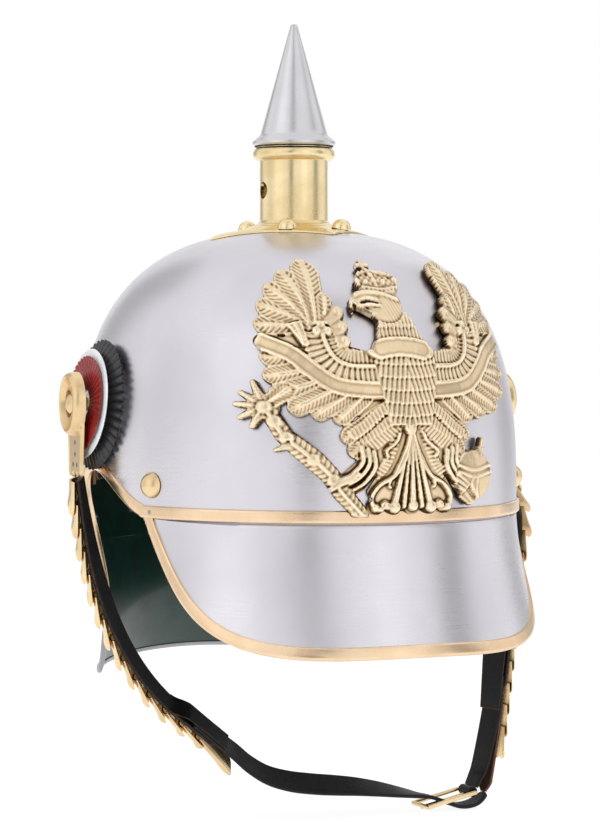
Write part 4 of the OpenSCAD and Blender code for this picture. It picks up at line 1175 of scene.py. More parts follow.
    def fringe(self, points: Line, near: float, far: float, pitch: float, level: float, deep: float,
               lean: float = 0.0) -> None:
        """Lays a row of ribs beside a smooth line, square to it, with round outer ends.

        Args:
            points: places of the line.
            near: distance from the line where the ribs start, left of it.
            far: distance where they end.
            pitch: distance between ribs.
            level: lift of the ribs.
            deep: depth between them.
            lean: shift of a rib along the line from near to far.
        """
        s, d, long = self.along(points)
        v = (d - near) / (far - near)
        u = (s - lean * v) / pitch
        rib = np.abs(np.cos(math.pi * u))
        inside = (v > 0) & (v < 1 - 0.12 * (1 - rib)) & (s > 0.01) & (s < long - 0.01)
        self.lay(inside, level + 0.5 * v - deep * (1 - rib) ** 1.3)

    def dome(self, at: Pair, r: float, level: float, tall: float, squash: float = 1.0) -> None:
        """Raises a round boss, level + tall √(1 - (d/r)²)."""
        n = np.hypot(self.x - at[0], (self.z - at[1]) / squash) / r
        self.raise_to(n < 1, level + tall * np.sqrt(np.maximum(0, 1 - n * n)))

    def soften(self, times: int) -> None:
        """Blurs the height a little, with weights 1 2 1 along both directions."""
        for _ in range(times):
            h = self.height
            h = (np.roll(h, 1, 0) + 2 * h + np.roll(h, -1, 0)) / 4
            self.height = (np.roll(h, 1, 1) + 2 * h + np.roll(h, -1, 1)) / 4

    def hollow(self, reach: int) -> Array:
        """How deep a point lies under its surroundings: a wide blur of the height less the height, from which
        the gilt paints shade in hollows and a highlight on ridges.
        """
        wide = np.where(self.reach < 0, self.height, 0.0)
        share = (self.reach < 0).astype(float)
        for _ in range(reach):
            for axis in (0, 1):
                wide = (np.roll(wide, 1, axis) + wide + np.roll(wide, -1, axis)) / 3
                share = (np.roll(share, 1, axis) + share + np.roll(share, -1, axis)) / 3
        return wide / np.maximum(share, 0.05) - self.height

    def form(self, gap: float, thin: float) -> Form:
        """Closed plate from the field: kept cells, with their border points moved onto the outline.

        Args:
            gap: distance between the shell and the plate's back.
            thin: least thickness.

        Returns:
            The plate with the mark hollow, which drives the gilt's painted shade and painted highlight.
        """
        gx, gz = np.gradient(self.reach, self.step)
        steep = np.maximum(gx * gx + gz * gz, 0.25)
        inside = self.reach < 0.3 * self.step
        cells = inside[:-1, :-1] & inside[1:, :-1] & inside[1:, 1:] & inside[:-1, 1:]
        n, m = self.x.shape
        quads = grid_quads(n, m)[cells.ravel()]
        edges = np.concatenate([quads[:, [k, (k + 1) % 4]] for k in range(4)])
        key = np.sort(edges, 1)
        _, first, count = np.unique(key[:, 0].astype(np.int64) * n * m + key[:, 1], return_index=True,
                                    return_counts=True)
        border = edges[first[count == 1]]
        rim = np.isin(np.arange(n * m), border).reshape(n, m)
        pull = np.clip(self.reach, -0.75 * self.step, 0.75 * self.step) / steep
        x = np.where(rim, self.x - pull * gx, self.x)
        z = np.where(rim, self.z - pull * gz, self.z)
        height = np.maximum(thin, self.height)
        height = np.where(rim, np.minimum(height, thin + 0.45), height)
        phi, level = SHAPE.at_front(x, z, gap + 1.4 + 0 * x)
        front = SHAPE.lift(phi, level, gap + height)
        back = SHAPE.lift(phi, level, gap + 0 * height)
        used = np.unique(quads)
        renumber = np.full(n * m, -1)
        renumber[used] = np.arange(len(used))
        k = len(used)
        face, line = renumber[quads], renumber[border]
        side = np.stack([line[:, 1], line[:, 0], line[:, 0] + k, line[:, 1] + k], -1)
        points = np.concatenate([front.reshape(-1, 3)[used], back.reshape(-1, 3)[used]])
        # The mark hollow sets the gilt's painted shade and painted highlight; the back face gets 0.5, which
        # paints it in full shade.
        deep = self.hollow(4).reshape(-1)[used]
        marks = {"hollow": np.concatenate([deep, 0 * deep + 0.5])}
        return Form(points, [(np.concatenate([face, face[:, ::-1] + k, side]), 0)], marks).outward()


@dataclass
class EaglePlate:
    """Stamped and gilt eagle with sceptre and orb on the front of the shell, its scrolls left bare."""

    finishes: Finishes
    gap: float = 1.4
    thin: float = 0.7
    step: float = 0.42
    plumes: tuple[tuple[Pair, Pair, float, float], ...] = (
        ((38, 88), (34.5, 112.3), 6, 11.5), ((38, 88), (42.7, 107.8), 6, 11.5),
        ((38, 88), (48.9, 102.5), 6, 11.5),
        ((38, 88), (53.7, 95.6), 6, 11), ((37, 87), (57.2, 88.2), 6, 9.5), ((34, 88), (31.6, 99), 6, 6.5),
        ((33, 88), (27.8, 93.5), 6, 6.2), ((32, 84), (27.4, 86.8), 6, 6), ((30, 72), (58, 73.5), 10, 9),
        ((30, 70), (58, 65), 10, 9), ((30, 66), (56.5, 57), 10, 9), ((28, 62), (50, 50.5), 10, 9),
        ((24, 60), (41, 48.5), 10, 9), ((20, 58), (32, 46.5), 10, 9), ((8, 50), (29, 37.5), 12, 9),
        ((8, 46), (26, 31), 12, 9), ((31, 80), (27.2, 80.6), 6, 5.6))
    crown: tuple[Pair, ...] = ((-13, 102.5), (4, 102.5), (6.5, 108), (1, 111.5), (-6, 112.5), (-13, 111.5),
                               (-16, 107.5))
    shaft: tuple[Pair, ...] = ((-61, 47.5), (-56, 37.5), (-50.3, 31.8), (-44.5, 26.4), (-38, 19.5),
                               (-33, 11.5), (-24.5, 1.5))
    fronds: tuple[Pair, ...] = ((-65.8, 62), (-70.4, 57), (-72.6, 51.8), (-71.4, 45.8), (-67.4, 41.6))

    def outline(self, r: Relief) -> None:
        """Joins the outline from wings, legs, body, tail, sceptre and orb.

        Args:
            r: the field.
        """
        wing = [(12, 46), (34, 47), (50, 52), (59, 62), (58, 78), (50, 84), (38, 92), (31, 90), (27, 79),
                (17, 76), (8, 80)]
        fan = [(34, 88), (31, 108), (40, 108), (48.5, 102), (55, 94), (57.5, 86), (46, 83)]
        leg = [(6, 47), (32, 43), (31, 36), (27.5, 32), (26.5, 25.5), (36, 17), (33, 8), (24, 12), (17, 20),
               (8, 30)]
        for side in (-1, 1):
            r.face(side)
            for shape in (wing, leg, fan):
                r.include(r.polygon(shape))
            for rod in ((50, 77.5), (59.5, 80.4), 9, 8), *self.plumes:
                r.rod(*rod)
        for shape in ([(-12, 84), (-17, 75), (-15, 60), (-11, 43), (11, 43), (15, 60), (17, 75), (9, 84),
                       (5, 94), (-10, 94)],
                      [(-10, 103.5), (-18, 102), (-21.6, 99), (-22.2, 96), (-20.9, 93.2), (-19.2, 95.8),
                       (-16, 94), (-10, 90)], self.crown,
                      [(-14, 24), (-22, 12), (-19, 3.5), (19, 3.5), (22, 12), (14, 24), (9, 45), (-9, 45)]):
            r.include(r.polygon(shape))
        for x in (-18, -9.3, 0, 9.3, 18):
            r.include(r.disc((x, 5), 4))
        for k in range(7):
            r.include(r.disc((-27.6 - 1.35 * k, 2.2 + 2.6 * k), 2.2))
        for at, size in (((-5, 97), 9), ((-62.5, 50.5), 5.5), ((35, 18), 12)):
            r.include(r.disc(at, size))
        for rod in zip(self.shaft, self.shaft[1:], (7, 7.5, 9, 9.5, 8.5, 8.5), (7.5, 9, 9.5, 8.5, 8.5, 7)):
            r.rod(*rod)
        for tip in self.fronds:
            r.rod((-63, 51), tip, 5.5, 2.6)
        for rod in (((-8, 111), (-8, 117.2), 3, 2.2), ((-10.8, 115.5), (-5.2, 115.5), 2.4, 2.4),
                    ((-62, 52), (-54, 58), 7, 9), ((-53, 33.5), (-59.4, 30.8), 4.6, 2),
                    ((-28, 19), (-37, 15.5), 6, 5), ((29, 11), (33, 7), 8, 6),
                    ((39, 27), (41.5, 34), 4, 3.5)):
            r.rod(*rod)

    def wing(self, r: Relief) -> None:
        """Lays one wing: primaries in a fan, lower feathers, coverts, arm, scroll and knobs.

        Args:
            r: the field, faced to the wing's side.
        """
        order = [(4, 1.5), (3, 1.8), (2, 2.1), (1, 2.4), (0, 2.7), (14, 1.3), (15, 1.2), (8, 1.4), (9, 1.7),
                 (10, 2), (13, 1.6), (12, 1.9), (11, 2.2)]
        for k, level in order:
            r.feather(*self.plumes[k], level, 2.1 if k < 5 else 1.8)
        r.feather(*self.plumes[5], 3)
        arm = [(36, 85), (35.6, 79.5), (33, 73.2), (27.5, 69.6), (18, 69), (9, 69.5)]
        r.fringe(arm, 0.5, 9.5, 2.1, 2.9, 1.15)
        r.fringe(arm, -0.5, -8, 2, 2.5, 1.05)
        for k in (6, 7, 16):
            r.feather(*self.plumes[k], 2.4, smooth=True)
            r.dome(self.plumes[k][1], 1.7, 3.3, 1)
        r.ridge(arm, 2.2, 3.1, 1, 1.8)
        mid = [(62.5, 81.5), (58.5, 79.3), (50.5, 75), (43, 67.5), (33.5, 60.4), (19.5, 58.2), (7, 58)]
        s, d, long = r.along(mid)
        half = 3.7
        inside = (np.abs(d) < half) & (s > 0.3) & (s < long - 0.3)
        r.lay(inside, 3.1 - 0.35 * ramp((half - 0.9 - np.abs(d)) / 0.6) + 0.12 * (d / half) ** 2)
        r.raise_to((np.abs(np.abs(d) - half + 0.35) < 0.5) & (s > 0.2) & (s < long), 3.75 + 0 * s)
        r.feather((46.5, 89), (44, 79.5), 6.5, 3.4, 3.3, 1.6, 0.4, 0.7)
        for at in ((36, 87.6), (33.7, 85), (38.3, 85)):
            r.dome(at, 1.9, 3.4, 1.3)

    def body(self, r: Relief) -> None:
        """Lays breast, neck, bare label, head, beak and crown.

        Args:
            r: the field.
        """
        breast = r.polygon([(-12, 84), (-16, 74), (-14, 60), (-10.5, 42), (10.5, 42), (14, 60), (16, 74),
                            (9, 84), (5, 93), (-10, 93)])
        swell = 1.5 * np.sqrt(np.maximum(0, 1 - (r.x / 16.5) ** 2))
        arch = (r.z - 40.0 - 1.2 * (r.x / 15) ** 2) / 5.8
        row = np.floor(arch)
        barb = np.abs(np.cos(math.pi * (r.x / 2.3 + 0.5 * row + 0.5 * np.sign(r.x) * (arch - row))))
        r.lay(breast < 0, 2.1 + swell + 0.9 * (1 - (arch - row)) - 1.0 * (1 - barb) ** 1.2)
        rib = np.abs(np.cos(math.pi * r.x / 1.9))
        for low, high, level in ((77.5, 86.5, 3.3), (85.5, 94.5, 3.9)):
            scallop = low + 1.1 * np.abs(np.sin(math.pi * r.x / 3.8))
            zone = (breast < -0.4) & (r.z > scallop) & (r.z < high)
            r.lay(zone, level + 0.5 * swell - 0.95 * (1 - rib) ** 1.2 + 0.5 * ramp((low + 3 - r.z) / 3))
        s, d, long = r.along([(-15.4, 75.4), (-9, 77), (-2, 77.4), (5, 76.6), (11.6, 75)])
        round_end = np.hypot(np.maximum(0, np.maximum(2.5 - s, s - long + 2.5)) * 1.4, d)
        r.lay(round_end < 4.3, 4.2 + 0.2 * (1 - (d / 4.3) ** 2))
        r.raise_to(np.abs(round_end - 3.9) < 0.55, 4.9 + 0 * s)
        head = r.disc((-5, 97), 9)
        lines = 0.25 * np.cos(2 * math.pi * (r.x + 0.5 * r.z) / 1.7)
        r.lay(head < 0, 3.0 + 1.9 * np.sqrt(np.clip(-head / 9, 0, 1)) + lines * ramp((r.x + 8) / 4))
        r.feather((-7, 99), (-16.5, 98.6), 8.5, 6.5, 3.2, smooth=True)
        r.ridge([(-14, 101), (-18.6, 99.8), (-20.9, 97), (-20.8, 94)], 5, 2.6, 2, 1.4)
        r.ridge([(-17.2, 95.4), (-14, 93.2), (-9.5, 92.4)], 3.4, 2.6, 1.5, 2.6)
        r.ridge([(-18.5, 100.6), (-13, 101.8), (-6, 101), (1.5, 98.4)], 2.6, 4.2, 1.2, 1.6)
        s, d, long = r.along([(-16.6, 97), (-12.5, 98.2), (-8, 97.2)])
        slit = 0.75 * np.sqrt(np.clip(1 - (2 * s / long - 1) ** 2, 0, 1))
        r.lay((np.abs(d) < slit) & (s > 0.1), 1.9 + 0 * s)
        r.ridge([(-16.8, 95.8), (-12.5, 96.6), (-7.4, 95.6)], 1.5, 4, 0.9)
        crown = r.polygon(self.crown)
        pits = 0.4 * np.cos(2 * math.pi * r.x / 2.9) * np.cos(2 * math.pi * (r.z - 106) / 2.7)
        r.lay(crown < 0, 2.7 + 1.3 * np.sqrt(np.clip(-crown / 4.5, 0, 1)) + pits * ramp((r.z - 104.6) / 0.6))
        for points in ([(-13.5, 104.6), (-5, 103.4), (4.2, 104.4)], [(-13.2, 102.9), (-5, 101.7), (4, 102.7)],
                       [(-14, 106), (-14.6, 109.5), (-8, 112.2)], [(4.5, 106), (4.2, 109.5), (-8, 112.2)],
                       [(-6, 105), (-6.8, 109), (-8, 112.2)]):
            r.ridge(points, 1.5, 3.7, 0.9)
        for x, z in ((-14.4, 107.6), (-12.8, 110.8), (-10.2, 112.4), (3.9, 107.6), (2.2, 110.4),
                     (-1.6, 112.2), (-6.4, 107.2), (-6.8, 109.8), (-10.4, 106.8), (-2, 106.8)):
            r.dome((x, z), 1.15, 4.1, 1)
        for x in np.linspace(-12.5, 3.4, 9):
            r.dome((float(x), 103.7 - 0.9 * math.cos((x + 4.6) / 9 * 1.3)), 0.8, 4, 0.7)
        r.ridge([(-8, 111), (-8, 118)], 2, 2.4, 1)
        r.ridge([(-11.3, 115.5), (-4.7, 115.5)], 1.9, 2.4, 1)
        r.dome((-8, 112.6), 1.5, 2.6, 1.4)

    def tail(self, r: Relief) -> None:
        """Lays the tail: a fan of ribs from one root, curled side scrolls and round ends.

        Args:
            r: the field.
        """
        r.lay(r.polygon([(-14, 24), (-22, 12), (-19, 1), (19, 1), (22, 12), (14, 24), (9, 45), (-9, 45)]) < 0,
              1.1 + 0 * r.x)
        root = (-0.5, 41)
        for x, w in ((-9.3, 3.3), (9.3, 3.3), (-4.6, 2.4), (4.6, 2.4), (0, 3.4)):
            r.ridge([root, mix(np.array(root), np.array((x, 5)), 0.5).tolist(), (x, 5)], 1, 2, 1.5, w)
        for side in (-1, 1):
            r.face(side)
            r.ridge([(0.8, 38), (3.8, 27), (9.2, 19), (16.5, 14.6), (20.2, 9), (18.6, 4.4), (14.6, 3.4)],
                    1.6, 2.2, 1.6, 2.6)
            r.ridge([(1.5, 36), (5.8, 26), (11.5, 15.6), (11, 13.6)], 1, 2.2, 0.9, 1.4)
            for at, size in (((13.8, 5.2), 2.5), ((9.3, 4.6), 2.9), ((18.3, 4.4), 2)):
                r.dome(at, size, 2.4, 1.8)
            r.fringe([(3.6, 39), (6.4, 31), (10.6, 22), (16, 16.5)], 0.6, 5.6, 2.1, 1.9, 0.95, 1.6)
            r.ridge([(5, 42), (7.5, 35), (13, 30.5), (12.2, 27.8)], 1.2, 2.6, 1.2, 1.8)
            thigh = [(4, 52), (12, 46.5), (21, 39), (27, 34.5)]
            r.fringe(thigh, -0.2, -6.5, 2, 2.5, 0.8, 1.4)
            r.fringe(thigh, 5.8, 0.2, 2, 2.7, 0.8, 1.4)
            r.fringe([(4, 44.5), (10, 39.5), (17, 34.5), (25, 30)], -3, 2.6, 1.9, 2.1, 0.9, 1.2)
            for off in (0, 2.7, 5.4):
                r.ridge([(24.2 - off, 32.0 - off * 0.4), (23.8 - off, 25.6 - off * 0.5),
                         (28.0 - off * 0.8, 20.4 - off * 0.9), (34.0 - off * 0.5, 16.6 - off)],
                        2.6, 2.4, 1.5, 1.8)
        r.dome((0, 5.2), 2.6, 2.3, 1.7)
        r.dome((-0.5, 41.5), 3, 2.6, 1.6, 1.5)

    def regalia(self, r: Relief) -> None:
        """Lays the sceptre in the right claw and the orb in the left.

        Args:
            r: the field.
        """
        shaft = list(self.shaft)
        s, d, long = r.along(shaft, 80)
        wide = np.interp(s / long, (0, 0.2, 0.45, 0.7, 1), (3.4, 3.8, 4.7, 4.3, 3.4))
        n = np.abs(d) / wide
        herring = np.abs(np.cos(math.pi * (s / 2.6 + 0.9 * n)))
        barbs = 0.8 * (1 - herring) ** 1.2 * ramp((n - 0.2) / 0.2)
        r.lay(n < 1, 1.8 + 1.2 * np.sqrt(np.clip(1 - n * n, 0, 1)) - barbs)
        r.ridge(shaft, 1.7, 2.9, 1.3, 1.5)
        for t in (0.06, 0.2, 0.5, 0.72):
            x, z = (float(np.interp(t, np.linspace(0, 1, 7), [p[i] for p in shaft])) for i in (0, 1))
            r.dome((x, z), 3, 2.9, 1.5)
        for k in range(7):
            r.dome((-27.6 - 1.35 * k, 2.2 + 2.6 * k), 2.1, 1.7, 1.5)
        r.feather((-53, 33.5), (-59.4, 30.8), 4.4, 1.9, 2, smooth=True)
        r.feather((-62, 52), (-54, 58), 6.6, 8.4, 1.7, 1.7)
        for tip in self.fronds:
            r.feather((-63, 51), tip, 5.2, 2.4, 1.9, 1.5, 0.7)
        r.dome((-62.6, 50.4), 3, 2.6, 1.7)
        for off in (-2.6, 0, 2.6):
            claw = [(-27.5 + off * 0.6, 18.5 + off * 0.5), (-33.5 + off * 0.7, 16.2 + off * 0.8),
                    (-38.8 + off * 0.5, 13.0 + off * 0.9)]
            r.ridge(claw, 2.5, 2.9, 1.6, 1.2)
        ball = r.disc((35, 18), 0)
        r.lay(ball < 12, 1.9 + 2.0 * np.sqrt(np.maximum(0, 1 - (ball / 12.2) ** 2)))
        r.raise_to((np.abs(ball - 11) < 1), 2.9 + 0 * ball)
        for points in ([(24.5, 23), (34, 20.5), (45.5, 22.5)], [(24.8, 20), (34, 17.4), (46, 19.4)],
                       [(33.4, 18), (32, 12), (33, 6.5)], [(36.2, 18), (35.6, 12), (36.4, 6.5)]):
            r.ridge(points, 1.3, 3.6, 0.8)
        r.ridge([(39, 27), (41.5, 35.5)], 2.6, 2, 1.3, 2.2)
        r.ridge([(36.8, 30.6), (44.2, 30.2)], 2, 2, 1.2)
        for off in (-2.6, 0, 2.6):
            claw = [(23.5 + off * 0.2, 16.5 + off), (29, 13.0 + off * 0.9), (33, 9.0 + off * 0.8)]
            r.ridge(claw, 2.3, 2.7, 1.5, 1.2)
        r.feather((29, 11), (33, 7), 7.4, 5.4, 1.7, 1.6, 0.4, 0.4)

    def build(self) -> None:
        """Lays the whole field and adds the plate."""
        r = Relief((-81, -2), (68, 122), self.step)
        self.outline(r)
        r.lay(r.reach < 1, 1.2 + 0 * r.x)
        for side in (-1, 1):
            r.face(side)
            self.wing(r)
        self.tail(r)
        self.body(r)
        self.regalia(r)
        r.soften(1)
        add_piece("eagle_relief", [r.form(self.gap, self.thin)], [self.finishes.gilt], "eagle_plate",
                  60)


# Sides: cockades, rosettes, chains


def on_side(forms: list[Form], place: Matrix, side: Side) -> list[Form]:
    """Forms carried by a matrix on the wearer's left, and mirrored for the right."""
    placed = [form.moved(place) for form in forms]
    return placed if side is Side.LEFT else [form.mirrored() for form in placed]


@dataclass
class Cockade:
    """Painted sheet-metal cockade: toothed outer ring, flat ring and fluted heart about a side post."""

    finishes: Finishes
    side: Side
    x: float = 109.3
    tilt: float = 6.0
    ring_r: float = 32.0
    heart_r: float = 23.3
    teeth: int = 42
    heart_folds: int = 40

    def place(self) -> Matrix:
        """Frame of the cockade with its Z outwards, on the wearer's left."""
        turn = Matrix.Rotation(math.radians(90), 4, "Y") @ Matrix.Rotation(math.radians(-self.tilt), 4, "Y")
        return Matrix.Translation((self.x, POST_Y, POST_Z)) @ turn

    def folded(self, radii: Array, heights: Array, depth: Array, folds: int, thick: float, power: float,
               scallop: float = 0.0) -> Form:
        """Ring of folds: height = heights - depth × |sin(folds/2 × angle)|^power, its edge scalloped alike.

        Args:
            radii: radius of each circle, from the inside outwards.
            heights: height of each circle.
            depth: depth of the folds on each circle.
            folds: number of folds.
            thick: thickness of the sheet.
            power: shape of the folds.
            scallop: how far the valleys draw the edge in.

        Returns:
            The ring.
        """
        a = np.linspace(0, 2 * math.pi, folds * 16, endpoint=False)[:, None]
        fold = np.abs(np.sin(folds / 2 * a)) ** power
        share = np.linspace(0, 1, len(radii))[None] ** 2
        r = radii[None] - scallop * (1 - fold) * share
        z = heights[None] - depth[None] * (1 - fold)
        top = np.stack([r * np.cos(a), r * np.sin(a), z], -1)
        r = r - 0.25 * thick * share
        return sheet_form(top, np.stack([r * np.cos(a), r * np.sin(a), z - thick], -1), True, 1)

    def build(self) -> None:
        """Adds ring, flat band and heart."""
        f, word = self.finishes, self.side.word
        t = np.linspace(0, 1, 20)
        ring = self.folded(mix(9.6, self.ring_r, t), -0.45 - 4.6 * t**2, 0.1 + 1.6 * t**3, self.teeth,
                           0.6, 1.0, 1.5)
        edge = np.array([(6.8, -0.1), (6.8, 0.45), (24, 0.5), (26.1, 0.55), (26.6, 0.42), (26.8, 0.2),
                         (26.6, -0.05)])
        border = 0.35 * np.exp(-((t - 0.97) / 0.05) ** 2)
        heart = self.folded(mix(7.0, self.heart_r, t), 1.75 + 0.2 * t + border, 0.15 + 0.5 * t,
                            self.heart_folds, 0.5, 0.7, 0.45)
        paint, paint_slot = (f.red, "red_paint") if self.side is Side.RIGHT else (f.black, "black_paint")
        for name, form, finishes, slot, node, sharp in (
                ("toothed_ring", ring, [f.black, f.steel], "black_paint", "ring", 50.0),
                ("flat_ring", lathe_form(edge, 160), [f.white], "white_paint", "band", 38.0),
                ("fluted_heart", heart, [paint, f.steel], paint_slot, "heart", 50.0)):
            add_piece(f"cockade_{word}_{name}", on_side([form], self.place(), self.side), finishes,
                      f"cockade_{node}_{word}", sharp)


@dataclass
class Rosette:
    """Brass rosette over the side post, a round dished head and a tail of three lobes, on top of a chain."""

    finishes: Finishes
    side: Side
    x: float = 120.1
    deep: float = 6.0
    head_r: float = 15.5
    tail: float = 34.0
    tail_w: float = 21.0
    turn: float = 6.0

    def place(self) -> Matrix:
        """Frame with X down the tail and Z outwards, on the wearer's left, at the rosette's back."""
        turn = Matrix.Rotation(math.radians(self.turn), 4, "Z") @ Matrix.Rotation(math.radians(90), 4, "Y")
        return Matrix.Translation((self.x - self.deep, POST_Y, POST_Z)) @ turn

    def reach(self, a: Array) -> Array:
        """Distance from the post to the outline at an angle from the tail.

        The greatest reach of the round head, the straight tail and three round lobes, in fine steps outwards.
        """
        r = np.linspace(8.0, 42.0, 681)[None]
        x, y = r * np.cos(a[:, None]), r * np.sin(a[:, None])
        low_x, half = self.tail - 2, self.tail_w / 2 - 0.5
        side = mix(self.head_r - 2, half, np.clip(x / low_x, 0, 1))
        inside = (r < self.head_r) | ((x > 0) & (x < low_x) & (np.abs(y) < side))
        for k in (-1, 0, 1):
            inside |= np.hypot(x - low_x, y - k * self.tail_w / 3.1) < self.tail_w / 5.8
        return np.max(np.where(inside, r, 0), axis=1)

    def plate(self) -> Form:
        """Plate: polar grid from the bore to the outline, with rim, ring and a raised bead on its height.

        Returns:
            The closed rosette without its pin holes.
        """
        a = np.linspace(0, 2 * math.pi, 360, endpoint=False)
        end = self.reach(a)[:, None]
        rows = np.array([3.95, 5.0, 6.0, 6.35, 6.4, 6.7, 7.3, 7.8, 8.0, 8.05, 8.4, 9.4, 10.6, 11.8, 12.8,
                         13.2, 13.3, 13.6, 14.3, 15.0])
        r = np.broadcast_to(rows, (len(a), len(rows)))
        tail = mix(15.4, end, np.array([0.02, 0.2, 0.4, 0.6, 0.75, 0.86, 0.93, 0.97, 1.0])[None])
        tail = np.where(end < 15.6, mix(15.05, end, np.linspace(0.1, 1, 9)[None]), tail)
        r = np.concatenate([r, tail], 1)
        ring = 3.0 * ramp((r - 6.35) / 0.15) * ramp((8.1 - r) / 0.15)
        rim = 4.5 * np.sqrt(np.maximum(0.0, 1 - (np.maximum(r - 13.4, 0) / 2.15) ** 2))
        rim = rim * ramp((r - 11.4) / 2.0)
        rim = np.where(r > 15.55, 0.0, rim) * ramp((np.minimum(15.5, end) - r + 0.3) / 0.3)
        edge = 0.45 * ramp((r - end + 1.6) / 0.7) * ramp((end - 16.5) / 1.0)
        edge = edge - 0.55 * ramp((r - end + 0.35) / 0.35)
        z = 1.5 + ring + rim + np.where(r > 15.6, edge, 0)
        ca, sa = np.cos(a)[:, None], np.sin(a)[:, None]
        top = np.stack([r * ca, r * sa, z], -1)
        return sheet_form(top, np.stack([r * ca, r * sa, 0 * z], -1), True)

    def eyelet(self, x: float, y: float) -> Form:
        """Dark disc in the tail standing for an eyelet hole: painted shade in place of a real hole."""
        profile = np.array([(1.15, 1.3), (1.15, 1.54), (1.0, 1.6), (0.12, 1.56)])
        return lathe_form(profile, 24, 1, True).moved(Matrix.Translation((x, y, 0)))

    def build(self) -> None:
        """Adds the rosette and its eyelet discs of painted shade as one piece."""
        f = self.finishes
        # The black discs over the tail are painted shade that stands in for its pin holes.
        forms = [self.plate()] + [self.eyelet(*p) for p in ((18.8, 0), (24.5, 0), (29.5, -3.6), (29.5, 3.6))]
        add_piece(f"rosette_plate_{self.side.word}", on_side(forms, self.place(), self.side),
                  [f.scale_brass, f.black], f"rosette_{self.side.word}", body=Body.CHAIN)


